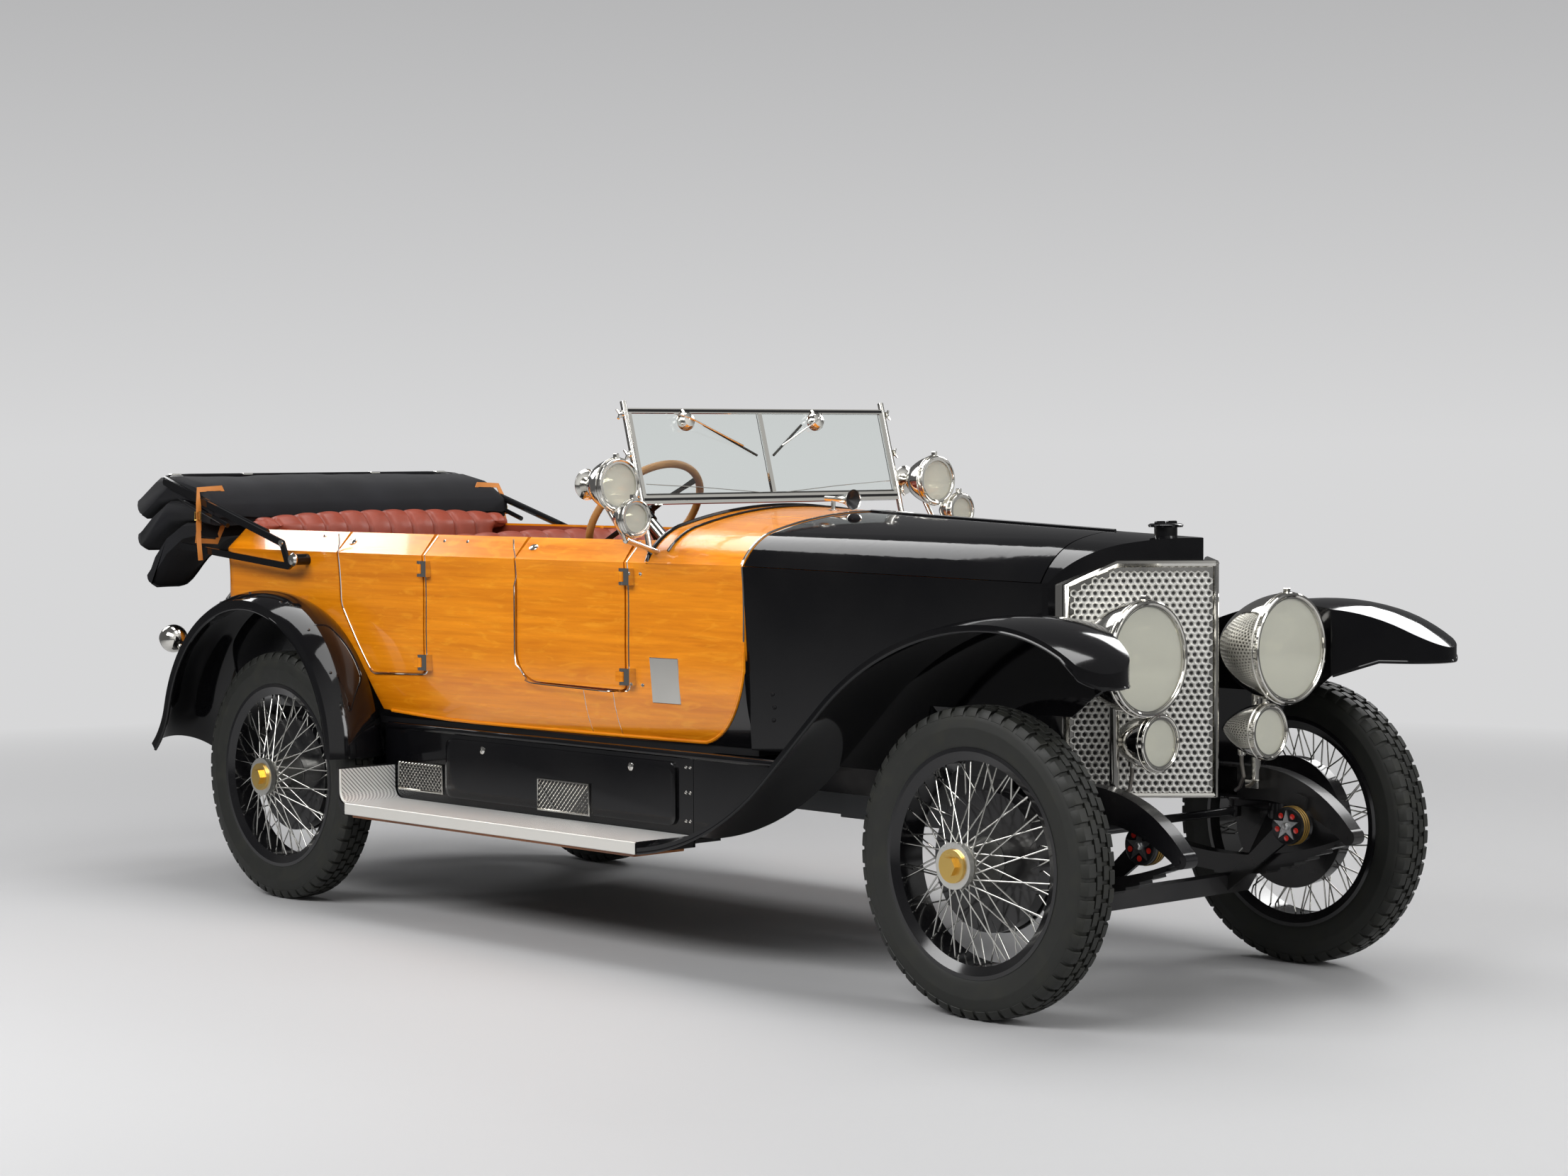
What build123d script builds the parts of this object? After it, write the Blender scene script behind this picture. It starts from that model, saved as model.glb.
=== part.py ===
from build123d import *
import os
from math import asin, cos, pi, radians, sin, sqrt, tan

os.makedirs("parts", exist_ok=True)

# Driving dimensions in millimetres: x forward, y to the car's left, z up from the ground.
wheelbase = 3400
front_axle_x = 1985
front_end_x = 2505
half_track = 715
tyre_radius = 440
tyre_section = 135
running_clearance = 0.05
seat_clearance = 0.3

# Wire wheels with their hubs and drums.
rim_seat_radius = 306
rim_flange_radius = 326
rim_inner_radius = 288
rim_half_width = 60
rim_flange_thickness = 8
tread_half_width = 52
hub_barrel_radius = 50
hub_outer_flange_radius = 62
hub_inner_flange_radius = 92
hub_outer_face = 128
hub_inner_face = -30
hub_cap_radius = 66
hub_nut_radius = 28
hub_disc_height = 8
hub_nut_height = 14
stub_radius = 25
stub_reach = 90
spoke_radius = 2.4
spokes_per_row = 18
drum_radius = 200
drum_inner_face = -54
drum_outer_face = -8
drum_wall = 10

# Front axle and steering.
kingpin_y = 600
kingpin_radius = 12
eye_radius = 34
eye_height = 84
ear_thickness = 20
backplate_radius = 205
backplate_y = 650
backplate_thickness = 6
steering_arm_length = 170
tie_pin_radius = 10
tie_rod_radius = 13
beam_half_depth = 25
beam_bottom_z = 252
beam_top_z = 306

# Chassis.
rail_outer_y = 405
rail_inner_y = 355
rail_bottom_z = 540
rail_top_z = 640
rail_rear_x = -2100
rail_wall = 8
dumb_iron_start_x = 2080
spring_eye_x = 2432
spring_eye_z = 455
spring_eye_radius = 24
front_spring_y = 380
rear_spring_y = 470
spring_width = 56

# Radiator, bonnet and scuttle.
bonnet_front_x = 1845
bonnet_rear_x = 814
bonnet_shut_gap = 5
bonnet_sheet = 8
bonnet_bottom_z = 662
hinge_rod_radius = 5
crown_top_angle = 15
crown_side_angle = 60
prow_x = 2222
core_half_width = 310
core_corner_x = 1922
core_bottom_z = 586
core_top_z = 1262
core_shoulder_z = 1199
core_flat_half = 204
core_back_x = 1885
shell_prow_setback = 41
scuttle_rear_x = 400
scuttle_sheet = 22

# Wooden body.
belt_z = 1235
rail_line_z = 1305
shoulder_inset = 65
wall_inset = 82
body_bottom_z = 665
firewall_thickness = 40
body_half_front = 560
body_half_mid = 636
body_mid_x = -228
body_half_rear = 648
body_arc_end_x = -1225
body_half_tail = 640
body_tail_x = -1988
body_corner_radius = 100
floor_thickness = 25
door_gap = 5
door_edge_taper = 8
door_hinge_stand_off = 12
seat_box_top_z = 790

# Wings and running boards.
wing_outer_y = 850
wing_mid_y = 690
wing_inner_y = 530
wing_sheet = 5
board_top_z = 385
board_bottom_z = 350
board_inner_y = 610
board_front_x = 636
board_rear_x = -940

# Values worked out from the driving dimensions.
rear_axle_x = front_axle_x - wheelbase
axle_z = tyre_radius
half_section = tyre_section / 2
bead_half = rim_half_width - rim_flange_thickness - seat_clearance
firewall_x = bonnet_rear_x - firewall_thickness
tie_x = front_axle_x - steering_arm_length
SIDES = (("left", 1), ("right", -1))


def write(piece, name):
    """Labels a finished piece and writes it under its own name."""
    piece.part.label = name
    export_step(piece.part, f"parts/{name}.step")


# Tyre, axis along z with the outboard side up.
with BuildPart() as road_tyre:
    with BuildSketch(Plane.XZ):
        with BuildLine():
            sidewall_foot = rim_flange_radius + 3
            sidewall_mid = (sidewall_foot + tyre_radius) / 2 - 5
            shoulder = tyre_radius - 12
            Polyline((sidewall_foot, -bead_half), (rim_seat_radius, -bead_half),
                     (rim_seat_radius, bead_half), (sidewall_foot, bead_half))
            ThreePointArc((sidewall_foot, bead_half), (sidewall_mid, half_section),
                          (shoulder, tread_half_width))
            ThreePointArc((shoulder, tread_half_width), (tyre_radius, 0), (shoulder, -tread_half_width))
            ThreePointArc((shoulder, -tread_half_width), (sidewall_mid, -half_section),
                          (sidewall_foot, -bead_half))
        make_face()
    revolve(axis=Axis.Z)

# Wire wheel in the same frame: rim, hub, cap nut and four rows of spokes.
with BuildPart() as wire_wheel:
    with BuildSketch(Plane.XZ):
        with BuildLine():
            well_half = rim_half_width - 14
            seat = rim_seat_radius - seat_clearance
            inside = rim_half_width - rim_flange_thickness
            Polyline((rim_inner_radius, -well_half), (rim_flange_radius - 12, -rim_half_width),
                     (rim_flange_radius, -rim_half_width), (rim_flange_radius, -inside), (seat, -inside),
                     (seat, inside), (rim_flange_radius, inside), (rim_flange_radius, rim_half_width),
                     (rim_flange_radius - 12, rim_half_width), (rim_inner_radius, well_half), close=True)
        make_face()
    revolve(axis=Axis.Z)
    with BuildSketch(Plane.XZ):
        with BuildLine():
            bore = stub_radius + running_clearance
            flange_z = hub_outer_face - 38
            Polyline((bore, hub_inner_face), (80, hub_inner_face), (80, hub_inner_face + 6),
                     (hub_inner_flange_radius, hub_inner_face + 6),
                     (hub_inner_flange_radius, hub_inner_face + 18), (72, hub_inner_face + 18),
                     (hub_barrel_radius, flange_z - 4), (hub_outer_flange_radius, flange_z),
                     (hub_outer_flange_radius, flange_z + 12), (hub_barrel_radius, flange_z + 16),
                     (hub_barrel_radius, hub_outer_face - 18), (hub_cap_radius, hub_outer_face - 18),
                     (hub_cap_radius, hub_outer_face), (0, hub_outer_face), (0, stub_reach + 5),
                     (bore, stub_reach + 5), close=True)
        make_face()
    revolve(axis=Axis.Z)
    with BuildSketch(Plane.XY.offset(hub_outer_face)):
        Circle(hub_cap_radius - 19)
    extrude(amount=hub_disc_height)
    with BuildSketch(Plane.XY.offset(hub_outer_face + hub_disc_height)):
        RegularPolygon(hub_nut_radius, 6)
    extrude(amount=hub_nut_height)
    spoke_rim_radius = rim_inner_radius + 8
    # Columns: hub radius, hub offset, rim offset, lead in degrees.
    for hub_radius, hub_offset, rim_offset, lead in (
            (hub_outer_flange_radius - 5, flange_z + 9, 32, 34),
            (hub_outer_flange_radius - 5, flange_z + 3, 18, -34),
            (hub_inner_flange_radius - 5, hub_inner_face + 15, -4, 50),
            (hub_inner_flange_radius - 5, hub_inner_face + 9.2, -24, -50)):
        hub_end = Vector(hub_radius, 0, hub_offset)
        rim_end = Vector(spoke_rim_radius * cos(radians(lead)), spoke_rim_radius * sin(radians(lead)),
                         rim_offset)
        along = rim_end - hub_end
        with PolarLocations(0, spokes_per_row):
            with Locations(Plane(origin=hub_end, z_dir=along)):
                Cylinder(spoke_radius, along.length, align=(Align.CENTER, Align.CENTER, Align.MIN))

# The same wheel with its brake drum on the inboard flange.
with BuildPart() as braked_wheel:
    add(wire_wheel.part)
    with BuildSketch(Plane.XZ):
        with BuildLine():
            web_face = drum_outer_face - drum_wall
            Polyline((60, drum_outer_face), (drum_radius, drum_outer_face), (drum_radius, drum_inner_face),
                     (drum_radius - drum_wall, drum_inner_face), (drum_radius - drum_wall, web_face),
                     (60, web_face), close=True)
        make_face()
    revolve(axis=Axis.Z)

# Columns: corner, axle, side.
for corner, axle_x, side in (("front_left", front_axle_x, 1), ("front_right", front_axle_x, -1),
                             ("rear_left", rear_axle_x, 1), ("rear_right", rear_axle_x, -1)):
    hub_place = Plane(origin=(axle_x, side * half_track, axle_z), x_dir=(1, 0, 0), z_dir=(0, side, 0))
    with BuildPart() as tyre:
        with Locations(hub_place):
            add(road_tyre.part)
    write(tyre, f"tyre_{corner}")
    with BuildPart() as wheel:
        with Locations(hub_place):
            add(braked_wheel.part)
    write(wheel, f"wire_wheel_{corner}")

# Spare wheel upright behind the body, on a spindle that stands on the rear cross member.
spare_x = hub_outer_face + hub_disc_height + hub_nut_height - front_end_x
spare_z = 740
spare_place = Plane(origin=(spare_x, 0, spare_z), x_dir=(0, 1, 0), z_dir=(-1, 0, 0))
with BuildPart() as spare_tyre:
    with Locations(spare_place):
        add(road_tyre.part)
write(spare_tyre, "spare_tyre")
with BuildPart() as spare_wheel:
    with Locations(spare_place):
        add(wire_wheel.part)
write(spare_wheel, "spare_wire_wheel")

# Steering knuckles: kingpin in a fork round the axle eye, web, stub axle, backplate and steering arm.
fork_half = eye_height / 2 + seat_clearance + ear_thickness
ear_mid = fork_half - ear_thickness / 2
web_y = eye_radius + 5
web_thickness = backplate_y - kingpin_y - web_y
arm_z = axle_z + ear_mid
for hand, side in SIDES:
    outward = Plane(origin=(front_axle_x, side * (kingpin_y + web_y), axle_z), z_dir=(0, side, 0))
    with BuildPart() as knuckle:
        with Locations((front_axle_x, side * kingpin_y, axle_z)):
            Cylinder(kingpin_radius, 2 * fork_half)
        with Locations((front_axle_x, side * kingpin_y, axle_z + ear_mid),
                       (front_axle_x, side * kingpin_y, axle_z - ear_mid)):
            Cylinder(eye_radius - 4, ear_thickness)
        ear_reach = web_y + web_thickness
        with Locations((front_axle_x, side * (kingpin_y + ear_reach / 2), axle_z + ear_mid),
                       (front_axle_x, side * (kingpin_y + ear_reach / 2), axle_z - ear_mid)):
            Box(2 * eye_radius - 16, ear_reach, ear_thickness)
        with Locations((front_axle_x, side * (kingpin_y + web_y + web_thickness / 2), axle_z)):
            Box(2 * eye_radius - 8, web_thickness, 2 * fork_half)
        with Locations(outward):
            Cylinder(stub_radius, half_track + stub_reach - kingpin_y - web_y,
                     align=(Align.CENTER, Align.CENTER, Align.MIN))
        with Locations(Plane(origin=(front_axle_x, side * backplate_y, axle_z), z_dir=(0, side, 0))):
            Cylinder(backplate_radius, backplate_thickness, align=(Align.CENTER, Align.CENTER, Align.MIN))
        with Locations((front_axle_x - steering_arm_length / 2, side * kingpin_y, arm_z)):
            Box(steering_arm_length, 30, ear_thickness)
        with Locations((tie_x, side * kingpin_y, arm_z)):
            Cylinder(18, ear_thickness)
        with Locations((tie_x, side * kingpin_y, arm_z - ear_thickness / 2)):
            Cylinder(tie_pin_radius, 36, align=(Align.CENTER, Align.CENTER, Align.MAX))
    write(knuckle, f"steering_knuckle_{hand}")

tie_z = arm_z - ear_thickness / 2 - 18
with BuildPart() as tie_rod:
    with Locations(Plane(origin=(tie_x, 0, tie_z), z_dir=(0, 1, 0))):
        Cylinder(tie_rod_radius, 2 * kingpin_y)
    with Locations((tie_x, kingpin_y, tie_z), (tie_x, -kingpin_y, tie_z)):
        Cylinder(tie_pin_radius + 10, 31)
        Cylinder(tie_pin_radius + running_clearance, 40, mode=Mode.SUBTRACT)
write(tie_rod, "tie_rod")

# Front axle: a dropped beam that rises to the kingpin eyes.
with BuildPart() as front_axle:
    with BuildSketch(Plane.YZ.offset(front_axle_x)):
        for hand, side in SIDES:
            with BuildLine():
                Polyline((0, beam_bottom_z), (side * 425, beam_bottom_z),
                         (side * (kingpin_y - eye_radius - 2), axle_z - eye_height / 2 + 6),
                         (side * (kingpin_y - 18), axle_z - eye_height / 2 + 6),
                         (side * (kingpin_y - 18), axle_z + eye_height / 2 - 6),
                         (side * 450, beam_top_z), (0, beam_top_z), close=True)
            make_face()
    extrude(amount=beam_half_depth, both=True)
    with Locations((front_axle_x, kingpin_y, axle_z), (front_axle_x, -kingpin_y, axle_z)):
        Cylinder(eye_radius, eye_height)
        Cylinder(kingpin_radius + running_clearance, eye_height, mode=Mode.SUBTRACT)
write(front_axle, "front_axle")

# Rear axle: tubes, differential housing, spring pads, backplates, stubs and torque tube.
differential_radius = 165
pad_top_z = axle_z + 50
gearbox_rear_x = 300
gearbox_z = 520
with BuildPart() as rear_axle:
    with Locations(Plane(origin=(rear_axle_x, 0, axle_z), z_dir=(0, 1, 0))):
        Cylinder(45, 2 * (backplate_y + 2))
        Cylinder(stub_radius, 2 * (half_track + stub_reach))
        Cylinder(differential_radius, 150)
    with Locations((rear_axle_x, 0, axle_z)):
        Sphere(differential_radius - 8)
    for hand, side in SIDES:
        with Locations(Plane(origin=(rear_axle_x, side * backplate_y, axle_z), z_dir=(0, side, 0))):
            Cylinder(backplate_radius, backplate_thickness, align=(Align.CENTER, Align.CENTER, Align.MIN))
        with Locations((rear_axle_x, side * rear_spring_y, pad_top_z)):
            Box(100, spring_width, 50, align=(Align.CENTER, Align.CENTER, Align.MAX))
    torque_start = Vector(rear_axle_x, 0, axle_z)
    torque_end = Vector(gearbox_rear_x - seat_clearance, 0, gearbox_z)
    torque_along = torque_end - torque_start
    with Locations(Plane(origin=torque_start, z_dir=torque_along)):
        Cylinder(42, torque_along.length, align=(Align.CENTER, Align.CENTER, Align.MIN))
    split(bisect_by=Plane.YZ.offset(gearbox_rear_x - seat_clearance), keep=Keep.BOTTOM)
write(rear_axle, "rear_axle")

# Chassis rails: channels that open inwards and sweep down to the dumb irons.
pocket_front_x = dumb_iron_start_x - 60
with BuildPart() as chassis_rails:
    for hand, side in SIDES:
        with BuildSketch(Plane.XZ.offset(-side * (rail_inner_y + rail_outer_y) / 2)):
            with BuildLine():
                tip_top = (spring_eye_x + 10, spring_eye_z + 22)
                tip_low = (spring_eye_x - 16, spring_eye_z - 18)
                Polyline((dumb_iron_start_x, rail_bottom_z), (rail_rear_x, rail_bottom_z),
                         (rail_rear_x, rail_top_z), (dumb_iron_start_x, rail_top_z))
                ThreePointArc((dumb_iron_start_x, rail_top_z), (2295, 592), tip_top)
                Line(tip_top, tip_low)
                ThreePointArc(tip_low, (2262, 518), (dumb_iron_start_x, rail_bottom_z))
            make_face()
            with Locations((spring_eye_x, spring_eye_z)):
                Circle(spring_eye_radius)
        extrude(amount=(rail_outer_y - rail_inner_y) / 2, both=True)
    pocket_x = (rail_rear_x + pocket_front_x) / 2
    pocket_height = rail_top_z - rail_bottom_z - 2 * rail_wall
    with Locations((pocket_x, 0, (rail_top_z + rail_bottom_z) / 2)):
        Box(pocket_front_x - rail_rear_x + 1, 2 * (rail_outer_y - rail_wall), pocket_height, mode=Mode.SUBTRACT)
write(chassis_rails, "chassis_rails")

# Cross members between the rail webs; the last one carries the spare wheel's post and spindle.
member_half = rail_outer_y - rail_wall
member_height = pocket_height - 2 * seat_clearance
tail_member_x = rail_rear_x + 40
front_member_x = 1802
middle_member_x = -250
rear_member_x = -950
plate_bolt_spacing_y = 240
plate_bolt_spacing_z = 40
plate_bolt_radius = 6
with BuildPart() as cross_members:
    for member_x in (front_member_x, middle_member_x, rear_member_x):
        with Locations((member_x, 0, (rail_top_z + rail_bottom_z) / 2)):
            Box(60, 2 * member_half, member_height)
    with Locations((tail_member_x, 0, (rail_top_z + rail_bottom_z) / 2)):
        Box(60, 2 * member_half, member_height)
    post_x = rail_rear_x - 10
    post_foot_z = rail_bottom_z + rail_wall + seat_clearance
    with Locations((post_x, 0, post_foot_z)):
        Box(40, 130, spare_z + 50 - post_foot_z, align=(Align.CENTER, Align.CENTER, Align.MIN))
    with Locations(Plane(origin=(post_x, 0, spare_z), z_dir=(-1, 0, 0))):
        Cylinder(stub_radius, post_x - spare_x + stub_reach, align=(Align.CENTER, Align.CENTER, Align.MIN))
    for row in (-1, 1):
        for column in (-1, 1):
            bolt = (tail_member_x - 30, column * plate_bolt_spacing_y / 2,
                    (rail_top_z + rail_bottom_z) / 2 + row * plate_bolt_spacing_z / 2)
            with Locations(Plane(origin=bolt, z_dir=(1, 0, 0))):
                Cylinder(plate_bolt_radius, 30, align=(Align.CENTER, Align.CENTER, Align.MIN),
                         mode=Mode.SUBTRACT)
write(cross_members, "cross_members")

# Leaf springs, each a pack of arcs on a pad, hung at both ends.
# Columns: axle, y of the spring, half chord, rise, leaves, leaf thickness, pad foot.
with BuildPart() as leaf_springs:
    for axle_x, spring_y, chord, rise, leaves, leaf, foot_z in (
            (front_axle_x, front_spring_y, spring_eye_x - front_axle_x, 88, 7, 8, beam_top_z),
            (rear_axle_x, rear_spring_y, 610, 56, 8, 9, pad_top_z)):
        main_z = foot_z + leaves * leaf + 6
        radius = (chord ** 2 + rise ** 2) / (2 * rise)
        for hand, side in SIDES:
            with BuildSketch(Plane.XZ.offset(-side * spring_y)):
                for index in range(leaves):
                    half_angle = asin(chord / radius) * (1 - 0.8 * index / leaves)
                    upper = radius + index * leaf
                    lower = upper + leaf
                    centre_z = main_z + radius
                    with BuildLine():
                        ends = [(axle_x + r * sin(a), centre_z - r * cos(a))
                                for r in (upper, lower) for a in (-half_angle, half_angle)]
                        ThreePointArc(ends[0], (axle_x, centre_z - upper), ends[1])
                        Line(ends[1], ends[3])
                        ThreePointArc(ends[3], (axle_x, centre_z - lower), ends[2])
                        Line(ends[2], ends[0])
                    make_face()
                with Locations((axle_x, foot_z)):
                    Rectangle(100, leaves * leaf + 4, align=(Align.CENTER, Align.MIN))
            extrude(amount=spring_width / 2, both=True)
    shackle_x = 2 * front_axle_x - spring_eye_x
    for hand, side in SIDES:
        with Locations((shackle_x + 8, side * front_spring_y, rail_bottom_z)):
            Box(30, 36, rail_bottom_z - spring_eye_z + 12, align=(Align.CENTER, Align.CENTER, Align.MAX))
        hanger_mid_y = (rail_outer_y + rear_spring_y + spring_width / 2) / 2
        hanger_width = rear_spring_y + spring_width / 2 - rail_outer_y
        for end in (-1, 1):
            with Locations((rear_axle_x + end * 600, side * hanger_mid_y, rail_bottom_z + 46)):
                Box(34, hanger_width, 60)
    add(chassis_rails.part, mode=Mode.SUBTRACT)
write(leaf_springs, "leaf_springs")

# Friction dampers inside the dumb irons, with arms to the rail and to the axle beam.
damper_x = 2248
damper_z = 477
damper_radius = 56
damper_width = 46
with BuildPart() as friction_dampers:
    for hand, side in SIDES:
        damper_y = side * (rail_inner_y - damper_width / 2)
        with Locations(Plane(origin=(damper_x, damper_y, damper_z), z_dir=(0, 1, 0))):
            Cylinder(damper_radius, damper_width)
        with BuildSketch(Plane.XZ.offset(-side * (rail_inner_y - 8))):
            with BuildLine():
                Polyline((damper_x - 24, damper_z), (damper_x + 24, damper_z), (damper_x + 44, 560),
                         (damper_x + 4, 572), close=True)
            make_face()
        extrude(amount=8, both=True)
        with BuildSketch(Plane.XZ.offset(-damper_y)):
            with BuildLine():
                beam_face = front_axle_x + beam_half_depth
                Polyline((damper_x + 10, damper_z - 30), (damper_x - 30, damper_z + 20),
                         (beam_face, beam_top_z - 4), (beam_face, beam_top_z - 46), close=True)
            make_face()
        extrude(amount=7, both=True)
write(friction_dampers, "friction_dampers")

# Engine and gearbox as one plain block on bearer arms in the rail pockets.
engine_front_x = 1760
engine_rear_x = 860
engine_half_width = 185
engine_bottom_z = 430
engine_top_z = 1120
with BuildPart() as engine_block:
    with Locations(((engine_front_x + engine_rear_x) / 2, 0, engine_bottom_z)):
        Box(engine_front_x - engine_rear_x, 2 * engine_half_width, engine_top_z - engine_bottom_z,
            align=(Align.CENTER, Align.CENTER, Align.MIN))
    with Locations(((gearbox_rear_x + engine_rear_x) / 2, 0, engine_bottom_z)):
        Box(engine_rear_x - gearbox_rear_x, 260, 600 - engine_bottom_z,
            align=(Align.CENTER, Align.CENTER, Align.MIN))
    for bearer_x in (engine_rear_x + 90, engine_front_x - 90):
        with Locations((bearer_x, 0, (rail_top_z + rail_bottom_z) / 2)):
            Box(50, 2 * member_half, 50)
write(engine_block, "engine_block")

# Exhaust: a stub from the engine's side, a pipe and a silencer under the floor.
exhaust_y = 255
exhaust_z = 478
exhaust_front_x = engine_rear_x + 30
with BuildPart() as exhaust:
    with Locations(Plane(origin=(exhaust_front_x, engine_half_width, exhaust_z), z_dir=(0, 1, 0))):
        Cylinder(27, exhaust_y - engine_half_width, align=(Align.CENTER, Align.CENTER, Align.MIN))
    with Locations(Plane(origin=(exhaust_front_x + 27, exhaust_y, exhaust_z), z_dir=(-1, 0, 0))):
        Cylinder(27, 2050, align=(Align.CENTER, Align.CENTER, Align.MIN))
    with Locations(Plane(origin=(-150, exhaust_y, exhaust_z - 20), z_dir=(-1, 0, 0))):
        Cylinder(75, 620, align=(Align.CENTER, Align.CENTER, Align.MIN))
write(exhaust, "exhaust")

# Fuel tank slung between the rails behind the rear axle.
with BuildPart() as fuel_tank:
    with Locations((-1830, 0, 536)):
        Box(340, 2 * rail_inner_y, 190)
    fillet(fuel_tank.edges().filter_by(Axis.Y), 40)
write(fuel_tank, "fuel_tank")


def crown_arcs(half_width, crease_z, top_z):
    """Draws a three-arc crown from the left crease over the top to the right crease."""
    top, side = radians(crown_top_angle), radians(crown_side_angle)
    height = top_z - crease_z
    # Two tangent arcs reach the crease when both equations hold, for the top and the side radius.
    a, b = sin(top), sin(side) - sin(top)
    c, d = 1 - cos(top), cos(top) - cos(side)
    top_radius = (half_width * d - height * b) / (a * d - b * c)
    side_radius = (half_width - a * top_radius) / b
    join = (top_radius * sin(top), top_z - top_radius * c)
    middle = (top + side) / 2
    side_mid = (join[0] + side_radius * (sin(middle) - sin(top)),
                join[1] - side_radius * (cos(top) - cos(middle)))
    ThreePointArc((half_width, crease_z), side_mid, join)
    ThreePointArc(join, (0, top_z), (-join[0], join[1]))
    ThreePointArc((-join[0], join[1]), (-side_mid[0], side_mid[1]), (-half_width, crease_z))


def crown_sheet(half_width, crease_z, top_z, sheet):
    """Draws the closed section of an arched sheet."""
    crown_arcs(half_width, crease_z, top_z)
    crown_arcs(half_width - sheet, crease_z, top_z - sheet)
    Line((half_width, crease_z), (half_width - sheet, crease_z))
    Line((-half_width, crease_z), (sheet - half_width, crease_z))


# Columns of the crown's stations: half width at the crease, crease height, top height.
scuttle_rear = (602, belt_z, 1408)
bonnet_rear = (body_half_front, belt_z, 1393)
bonnet_front = (325, 1205, 1348)
shell_front = (300, 1198, 1333)


def bonnet_station(x):
    """Returns half width, crease height and top height of the bonnet at x."""
    share = (x - bonnet_rear_x) / (bonnet_front_x - bonnet_rear_x)
    return tuple(rear + share * (front - rear) for rear, front in zip(bonnet_rear, bonnet_front))


# Scuttle: an arched wooden shell on the tub's top edge.
with BuildPart() as scuttle:
    for x, station in ((scuttle_rear_x, scuttle_rear), (bonnet_rear_x, bonnet_rear)):
        with BuildSketch(Plane.YZ.offset(x)):
            with BuildLine():
                crown_sheet(*station, scuttle_sheet)
            make_face()
    loft(ruled=True)
write(scuttle, "scuttle")

# Bonnet tops: one arched sheet split along the centre and cut back round the hinge rod.
top_rear_x = bonnet_rear_x + bonnet_shut_gap
top_front_x = bonnet_front_x - bonnet_shut_gap
hinge_rear = Vector(bonnet_rear_x, 0, bonnet_station(bonnet_rear_x)[2] + 2)
hinge_front = Vector(bonnet_front_x, 0, bonnet_station(bonnet_front_x)[2] + 2)
hinge_along = hinge_front - hinge_rear
hinge_plane = Plane(origin=hinge_rear, z_dir=hinge_along)
for hand, side in SIDES:
    with BuildPart() as bonnet_top:
        for x in (top_rear_x, top_front_x):
            with BuildSketch(Plane.YZ.offset(x)):
                with BuildLine():
                    crown_sheet(*bonnet_station(x), bonnet_sheet)
                make_face()
        loft(ruled=True)
        split(bisect_by=Plane.XZ.offset(-side * 1.0), keep=Keep.BOTTOM if side > 0 else Keep.TOP)
        with Locations(hinge_plane):
            Cylinder(hinge_rod_radius + running_clearance, hinge_along.length,
                     align=(Align.CENTER, Align.CENTER, Align.MIN), mode=Mode.SUBTRACT)
    write(bonnet_top, f"bonnet_{hand}")

# Bonnet sides under the crease, fixed, with the hinge rod that runs from scuttle to radiator shell.
crease_gap = 2
side_turn_in = 36
with BuildPart() as bonnet_sides:
    for hand, side in SIDES:
        for x in (bonnet_rear_x, bonnet_front_x):
            half_width, crease_z, top_z = bonnet_station(x)
            with BuildSketch(Plane.YZ.offset(x)):
                with BuildLine():
                    Polyline((side * half_width, crease_z - crease_gap),
                             (side * (half_width - side_turn_in), bonnet_bottom_z),
                             (side * (half_width - side_turn_in - bonnet_sheet), bonnet_bottom_z),
                             (side * (half_width - bonnet_sheet), crease_z - crease_gap), close=True)
                make_face()
        loft(ruled=True)
    with Locations(hinge_plane.offset(seat_clearance)):
        Cylinder(hinge_rod_radius, hinge_along.length - 2 * seat_clearance,
                 align=(Align.CENTER, Align.CENTER, Align.MIN))
write(bonnet_sides, "bonnet_sides")

# Radiator core: a wedge with its prow forward and chamfered top corners.
core_height = core_top_z - core_bottom_z
with BuildPart() as radiator_core:
    with BuildSketch(Plane.XY.offset(core_bottom_z)):
        with BuildLine():
            Polyline((prow_x, 0), (core_corner_x, core_half_width), (core_back_x, core_half_width),
                     (core_back_x, -core_half_width), (core_corner_x, -core_half_width), close=True)
        make_face()
    extrude(amount=core_height)
    with BuildSketch(Plane.YZ.offset(core_back_x)):
        with BuildLine():
            Polyline((core_half_width, core_bottom_z), (core_half_width, core_shoulder_z),
                     (core_flat_half, core_top_z), (-core_flat_half, core_top_z),
                     (-core_half_width, core_shoulder_z), (-core_half_width, core_bottom_z), close=True)
        make_face()
    extrude(amount=prow_x - core_back_x, mode=Mode.INTERSECT)
write(radiator_core, "radiator_core")

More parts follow.
